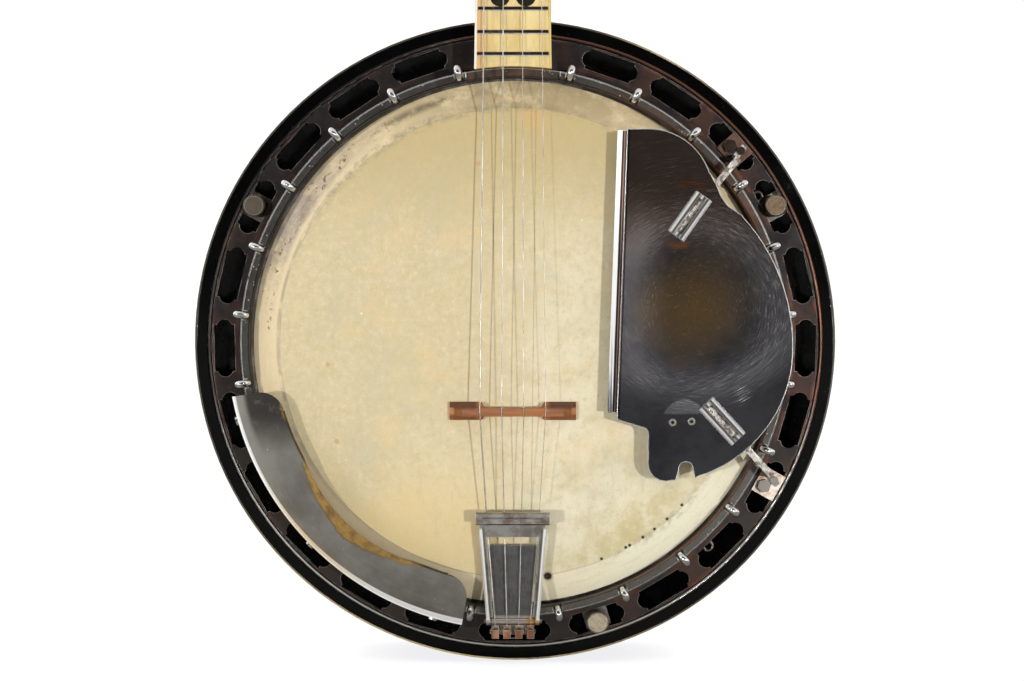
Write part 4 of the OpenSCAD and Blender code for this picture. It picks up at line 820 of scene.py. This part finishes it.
def bridge_wood():
    """The bridge: red-brown oiled maple, darker and rougher on its feet, with light facets in front."""
    f = Finish("bridge_maple")
    grain = f.noise(30, 5, 0.7, f.stretched((1, 8, 12)))
    pores = f.noise(300, 4, 0.75, f.stretched((0.6, 6, 6)))
    colour = f.mix(grain.ramp(0.32, 0.7), srgb(172, 106, 50), srgb(126, 70, 32))
    foot = (f.x - STRINGS_X).math("ABSOLUTE").ramp(0.0175, 0.020)
    above = f.z - BRIDGE_Z
    rough_side = foot * above.math("ABSOLUTE").ramp(0.0012, 0.0024)
    colour = f.mix(rough_side * 0.5, colour, srgb(108, 56, 30))
    shaded = foot * above.ramp(0.0006, 0.0022)
    colour = f.mix(shaded * 0.7, colour, srgb(72, 38, 22))
    light_facet = foot * f.y.ramp(-0.0068, -0.0044) * (1.0 - rough_side)
    colour = f.mix(light_facet * 0.6, colour, srgb(214, 150, 102))
    colour = f.mix(pores.ramp(0.55, 0.78) * 0.5, colour, srgb(96, 50, 28))
    colour = f.mix(f.edges(0.4 * MM) * 0.4, colour, srgb(220, 160, 112))
    return f.done(colour, pores * 0.25 + 0.4, f.bump(grain * 0.4 + pores * 0.6, 0.08 * MM, 0.3 * MM))


CHROME = srgb(226, 226, 224)

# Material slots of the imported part, and the finish of each
FINISHES = {
    "skin": skin,
    "rim_maple": lambda: wood("rim_wood", srgb(196, 150, 98), srgb(158, 108, 62), (40, 40, 2)),
    "bronze": lambda: metal("tone_ring_bronze", srgb(186, 146, 84), srgb(120, 86, 50), 0.6, 0.35),
    "worn_nickel": lambda: metal("worn_nickel", srgb(156, 152, 145), srgb(92, 85, 78), 0.6, 0.3,
                                 edge=srgb(214, 210, 202), pits=0.15),
    "bright_nickel": lambda: metal("bright_nickel", CHROME, srgb(178, 174, 168), 0.2, 0.12,
                                   edge=srgb(245, 244, 240)),
    "satin_nickel": armrest_metal,
    "dark_nickel": mirror_metal,
    "worn_flange": flange_metal,
    "neck_maple": lambda: wood("neck_wood", srgb(206, 158, 96), srgb(170, 116, 62), (7, 7, 0.6), 0.45,
                               0.3, 0.4, srgb(120, 84, 50)),
    "board_maple": board_wood,
    "binding": lambda: binding_plastic("cream_binding", srgb(236, 222, 184), srgb(208, 180, 122)),
    "fret_wire": fret_metal,
    "black_inlay": lambda: dark_gloss("black_inlay", srgb(26, 22, 20), srgb(62, 52, 44)),
    "bone": lambda: ivory("bone_nut", srgb(238, 230, 208), srgb(214, 198, 158)),
    "black_veneer": lambda: dark_gloss("black_veneer", srgb(18, 17, 17), srgb(46, 42, 38), 0.16),
    "black_plastic": lambda: dark_gloss("black_plastic", srgb(20, 20, 21), srgb(58, 56, 54)),
    "steel": lambda: metal("plain_steel", srgb(168, 164, 158), srgb(120, 116, 110), 0.5, 0.3,
                           edge=CHROME),
    "string_steel": lambda: metal("string_wire", srgb(208, 204, 196), srgb(170, 164, 154), 0.5, 0.36,
                                  rounding=None),
    "bridge_wood": bridge_wood,
    "brass": lambda: metal("worn_brass", srgb(216, 180, 118), srgb(150, 112, 66), 0.5, 0.28,
                           edge=srgb(242, 220, 176)),
    "thumb_brass": thumb_metal,
    "black_lacquer": lacquer,
    "button_plastic": lambda: ivory("button_plastic", srgb(240, 230, 202), srgb(214, 188, 136)),
}

# Nodes whose finish differs from the rest of their slot
NODE_FINISHES = {
    "tension_hoop": hoop_metal,
    "fingerboard_binding": board_binding,
    "finger_rest_brackets": bracket_metal,
    "finger_rest_fasteners": fastener_metal,
    "resonator_binding": resonator_binding,
    "tailpiece_lid": lambda: tailpiece_metal("tailpiece_lid_plate", srgb(172, 168, 162), srgb(124, 119, 112)),
    "tailpiece_plate": lambda: tailpiece_metal("tailpiece_base_plate", srgb(104, 103, 102), srgb(88, 87, 85)),
    "finger_rest_arms": arm_metal,
}


def dress_frame():
    """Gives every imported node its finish, by node name or by the slot its material is named after."""
    made = {}
    for name, node in frame["nodes"].items():
        slot_name = node.data.materials[0].name.split(".")[0]
        key = name if name in NODE_FINISHES else slot_name
        if key not in made:
            made[key] = (NODE_FINISHES.get(name) or FINISHES[slot_name])()
        node.material_slots[0].material = made[key]
    return made


finishes = dress_frame()


# ---------- small pieces that only look

def add(name, data):
    """An object with that data, in the scene."""
    made = bpy.data.objects.new(name, data)
    bpy.context.scene.collection.objects.link(made)
    return made


def tube(name, points, radius, slot, sides=10):
    """A round wire through points: a ring if the last point meets the first, else closed at both ends."""
    ring = (points[0] - points[-1]).length < 0.01 * MM
    if ring:
        points = points[:-1]
    count = len(points)
    corners, faces = [], []
    heading, turn = None, None
    for i, point in enumerate(points):
        if ring:
            ahead = points[(i + 1) % count] - points[i - 1]
        else:
            ahead = points[min(i + 1, count - 1)] - points[max(i - 1, 0)]
        if turn is None:
            turn = ahead.to_track_quat("Z", "Y")
        else:
            turn = heading.rotation_difference(ahead) @ turn
        heading = ahead
        for k in range(sides):
            angle = math.tau * k / sides
            corners.append(point + turn @ Vector((math.cos(angle), math.sin(angle), 0)) * radius)
    for i in range(count if ring else count - 1):
        here, there = i * sides, (i + 1) % count * sides
        for k in range(sides):
            beside = (k + 1) % sides
            faces.append((here + k, here + beside, there + beside, there + k))
    if not ring:
        faces.append(tuple(reversed(range(sides))))
        faces.append(tuple(range((count - 1) * sides, count * sides)))
    mesh = bpy.data.meshes.new(name)
    mesh.from_pydata(corners, [], faces)
    mesh.shade_smooth()
    mesh.materials.append(finishes[slot])
    made = add(name, mesh)
    return made


POST_R = 3.0 * MM
STRING_R = (0.38 * MM, 0.30 * MM, 0.22 * MM, 0.17 * MM)
WRAP_TOP = 7.0 * MM
WRAP_TURNS = 4
WRAP_PITCH = 2.15  # in string radii
STEPS_PER_TURN = 24


def string_wraps():
    """The turns of string on each tuner post; they turn with the post."""
    posts = [j for j in frame["joints"] if j["child"].startswith("tuner_post")]
    order = sorted(posts, key=lambda j: (j["pos_m"][0], j["pos_m"][2]))
    for joint, string_r in zip(order, STRING_R):
        axis = Vector(joint["axis"]).normalized()
        side = Vector((1, 0, 0))
        other = axis.cross(side)
        points = []
        for i in range(STEPS_PER_TURN * WRAP_TURNS + 1):
            turns = i / STEPS_PER_TURN
            angle = math.tau * turns
            height = WRAP_TOP - WRAP_PITCH * string_r * turns
            around = side * math.cos(angle) + other * math.sin(angle)
            points.append(Vector(joint["pos_m"]) + axis * height + around * (POST_R + string_r))
        wrap = tube("string_wrap_" + joint["child"][-1], points, string_r, "string_steel")
        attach(wrap, joint["child"])


WIRE_CENTRE = Vector((STRINGS_X, 1.5 * MM, -151.2 * MM))
WIRE_SPANS = (7.0 * MM, -0.6 * MM, 6.6 * MM)
WIRE_R = 0.42 * MM
WIRE_STEPS = 24


def tailpiece_wire():
    """The loose U of wire behind the tailpiece's string tabs, a little less than half an ellipse."""
    across, out, along = WIRE_SPANS
    points = []
    for i in range(WIRE_STEPS + 1):
        angle = math.radians(-172 + 164 * i / WIRE_STEPS)
        cosine, sine = math.cos(angle), math.sin(angle)
        points.append(WIRE_CENTRE + Vector((across * cosine, out * sine, along * sine)))
    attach(tube("tailpiece_wire", points, WIRE_R, "bright_nickel"), "root")


EYELET_SITES_DEG = (30.9, -28.6, -46.6)
EYELET_SITES_R = 153.6 * MM
EYELET_DEPTH = 2.2 * MM
EYELET_R = 2.5 * MM
EYELET_WIRE_R = 1.0 * MM
EYELET_STEPS = 32


def opening_eyelets():
    """Small plated eyelets that show at the ends of three of the flange's openings."""
    flange_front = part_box("flange")[0].y
    for number, degrees in enumerate(EYELET_SITES_DEG, 1):
        angle = math.radians(degrees)
        centre = Vector((EYELET_SITES_R * math.cos(angle), flange_front + EYELET_DEPTH,
                         EYELET_SITES_R * math.sin(angle)))
        points = []
        for i in range(EYELET_STEPS + 1):
            turn = math.tau * i / EYELET_STEPS
            points.append(centre + Vector((math.cos(turn), 0, math.sin(turn))) * EYELET_R)
        eyelet = tube(f"opening_eyelet_{number}", points, EYELET_WIRE_R, "worn_nickel", 12)
        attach(eyelet, "root")


string_wraps()
tailpiece_wire()
opening_eyelets()


# ---------- floor, light and camera

FLOOR_REACH = 12.0
CONTACT_SHADOW = 30 * MM


def seen_or_lit(f, seen, lit, output_kind):
    """Ends a node tree with the shader seen by the camera, and another one for all other rays."""
    ray = f.node("ShaderNodeLightPath")
    both = f.node("ShaderNodeMixShader")
    output = f.node(output_kind)
    f.tree.links.new(ray.outputs["Is Camera Ray"], both.inputs[0])
    f.tree.links.new(lit.outputs[0], both.inputs[1])
    f.tree.links.new(seen.outputs[0], both.inputs[2])
    f.tree.links.new(both.outputs[0], output.inputs["Surface"])


def floor():
    """A pale floor just under the pot, white to the camera except in the contact shadow."""
    level = CAD_BOX[0].z - 1 * MM
    mesh = bpy.data.meshes.new("floor")
    signs = ((-1, -1), (1, -1), (1, 1), (-1, 1))
    corners = [(x * FLOOR_REACH, y * FLOOR_REACH, level) for x, y in signs]
    mesh.from_pydata(corners, [], [(0, 1, 2, 3)])
    add("floor", mesh)
    f = Finish("floor_paper")
    shade = f.node("ShaderNodeAmbientOcclusion", samples=8)
    shade.inputs["Distance"].default_value = CONTACT_SHADOW
    seen = f.node("ShaderNodeEmission")
    f.put(f.mix(Field(f, shade.outputs["AO"]).ramp(0.1, 0.9), srgb(232, 232, 234), srgb(255, 255, 255)),
          seen.inputs["Color"])
    seen.inputs["Strength"].default_value = 1.05
    paper = f.node("ShaderNodeBsdfDiffuse")
    f.put(f.mix(f.noise(900, 3), srgb(206, 206, 204), srgb(220, 219, 216)), paper.inputs["Color"])
    seen_or_lit(f, seen, paper, "ShaderNodeOutputMaterial")
    mesh.materials.append(f.material)


class Sky(Finish):
    """A world's node tree, with the same short methods."""

    def __init__(self, tree):
        self.tree = tree
        coordinates = self.node("ShaderNodeTexCoord")
        self.place = Field(self, coordinates.outputs["Generated"])

    def soft_box(self, direction, wide_deg, soft_deg):
        """1 within wide_deg of a direction, fading over soft_deg."""
        outer = math.cos(math.radians(wide_deg + soft_deg))
        inner = math.cos(math.radians(wide_deg))
        return self.dot(self.place, Vector(direction).normalized()).ramp(outer, inner)

    def background(self, strength):
        node = self.node("ShaderNodeBackground")
        node.inputs["Color"].default_value = (1, 1, 1, 1)
        self.put(strength, node.inputs["Strength"])
        return node


def studio():
    """White to the camera. As light: dark straight in front, dim behind, with four soft boxes round it."""
    world = bpy.data.worlds.new("studio")
    bpy.context.scene.world = world
    world.use_nodes = True
    world.node_tree.nodes.clear()
    sky = Sky(world.node_tree)
    in_front = sky.dot(sky.place, TOWARDS_PLAYER)
    light = 0.04 + in_front.ramp(0.80, 0.45) * 0.85 - in_front.ramp(-0.2, -0.7) * 0.45
    light = light + sky.soft_box((-1, -0.5, 0.1), 9, 9) * 1.3
    light = light + sky.soft_box((1, -0.45, 0.1), 9, 9) * 1.2
    light = light + sky.soft_box((-0.8, 1, 0.5), 20, 12) * 1.2
    light = light + sky.soft_box((0.9, 0.9, 0.2), 16, 12) * 1.0
    # reflections see all of this light, other surfaces half of it
    ray = sky.node("ShaderNodeLightPath")
    reflected = Field(sky, ray.outputs["Is Glossy Ray"])
    lit = sky.background(light * (reflected * 0.5 + 0.5))
    seen_or_lit(sky, sky.background(1.1), lit, "ShaderNodeOutputWorld")
    world.cycles.sampling_method = "NONE"


def lamp(name, side_slope, strength, size_deg, mirrored=True):
    """A far light in front of the object, side_slope off the view line, seen in reflections or not."""
    data = bpy.data.lights.new(name, "SUN")
    data.energy = strength
    data.angle = math.radians(size_deg)
    made = add(name, data)
    made.visible_glossy = mirrored
    made.rotation_mode = "QUATERNION"
    made.rotation_quaternion = Vector((side_slope, -1.0, 0.0)).to_track_quat("Z", "Y")


CAMERA_FROM = Vector((5.7 * MM, -1044.3 * MM, 35.5 * MM))
CAMERA_AIM = Vector((-1.3 * MM, 0, 1.5 * MM))


def camera():
    """Nearly square on to the head, a metre away, a little above its centre."""
    data = bpy.data.cameras.new("camera")
    data.lens = 69.15
    data.sensor_width = 36
    data.clip_start, data.clip_end = 0.05, 40
    made = add("camera", data)
    made.location = CAMERA_FROM
    made.rotation_mode = "QUATERNION"
    made.rotation_quaternion = (CAMERA_AIM - CAMERA_FROM).to_track_quat("-Z", "Y")
    bpy.context.scene.camera = made


floor()
studio()
lamp("right_lamp", 0.43, 1.3, 1.2)
lamp("left_lamp", -0.52, 0.96, 1.2)
lamp("front_fill", 0.0, 0.9, 80.0, mirrored=False)
camera()
bpy.context.scene.view_settings.view_transform = "Standard"
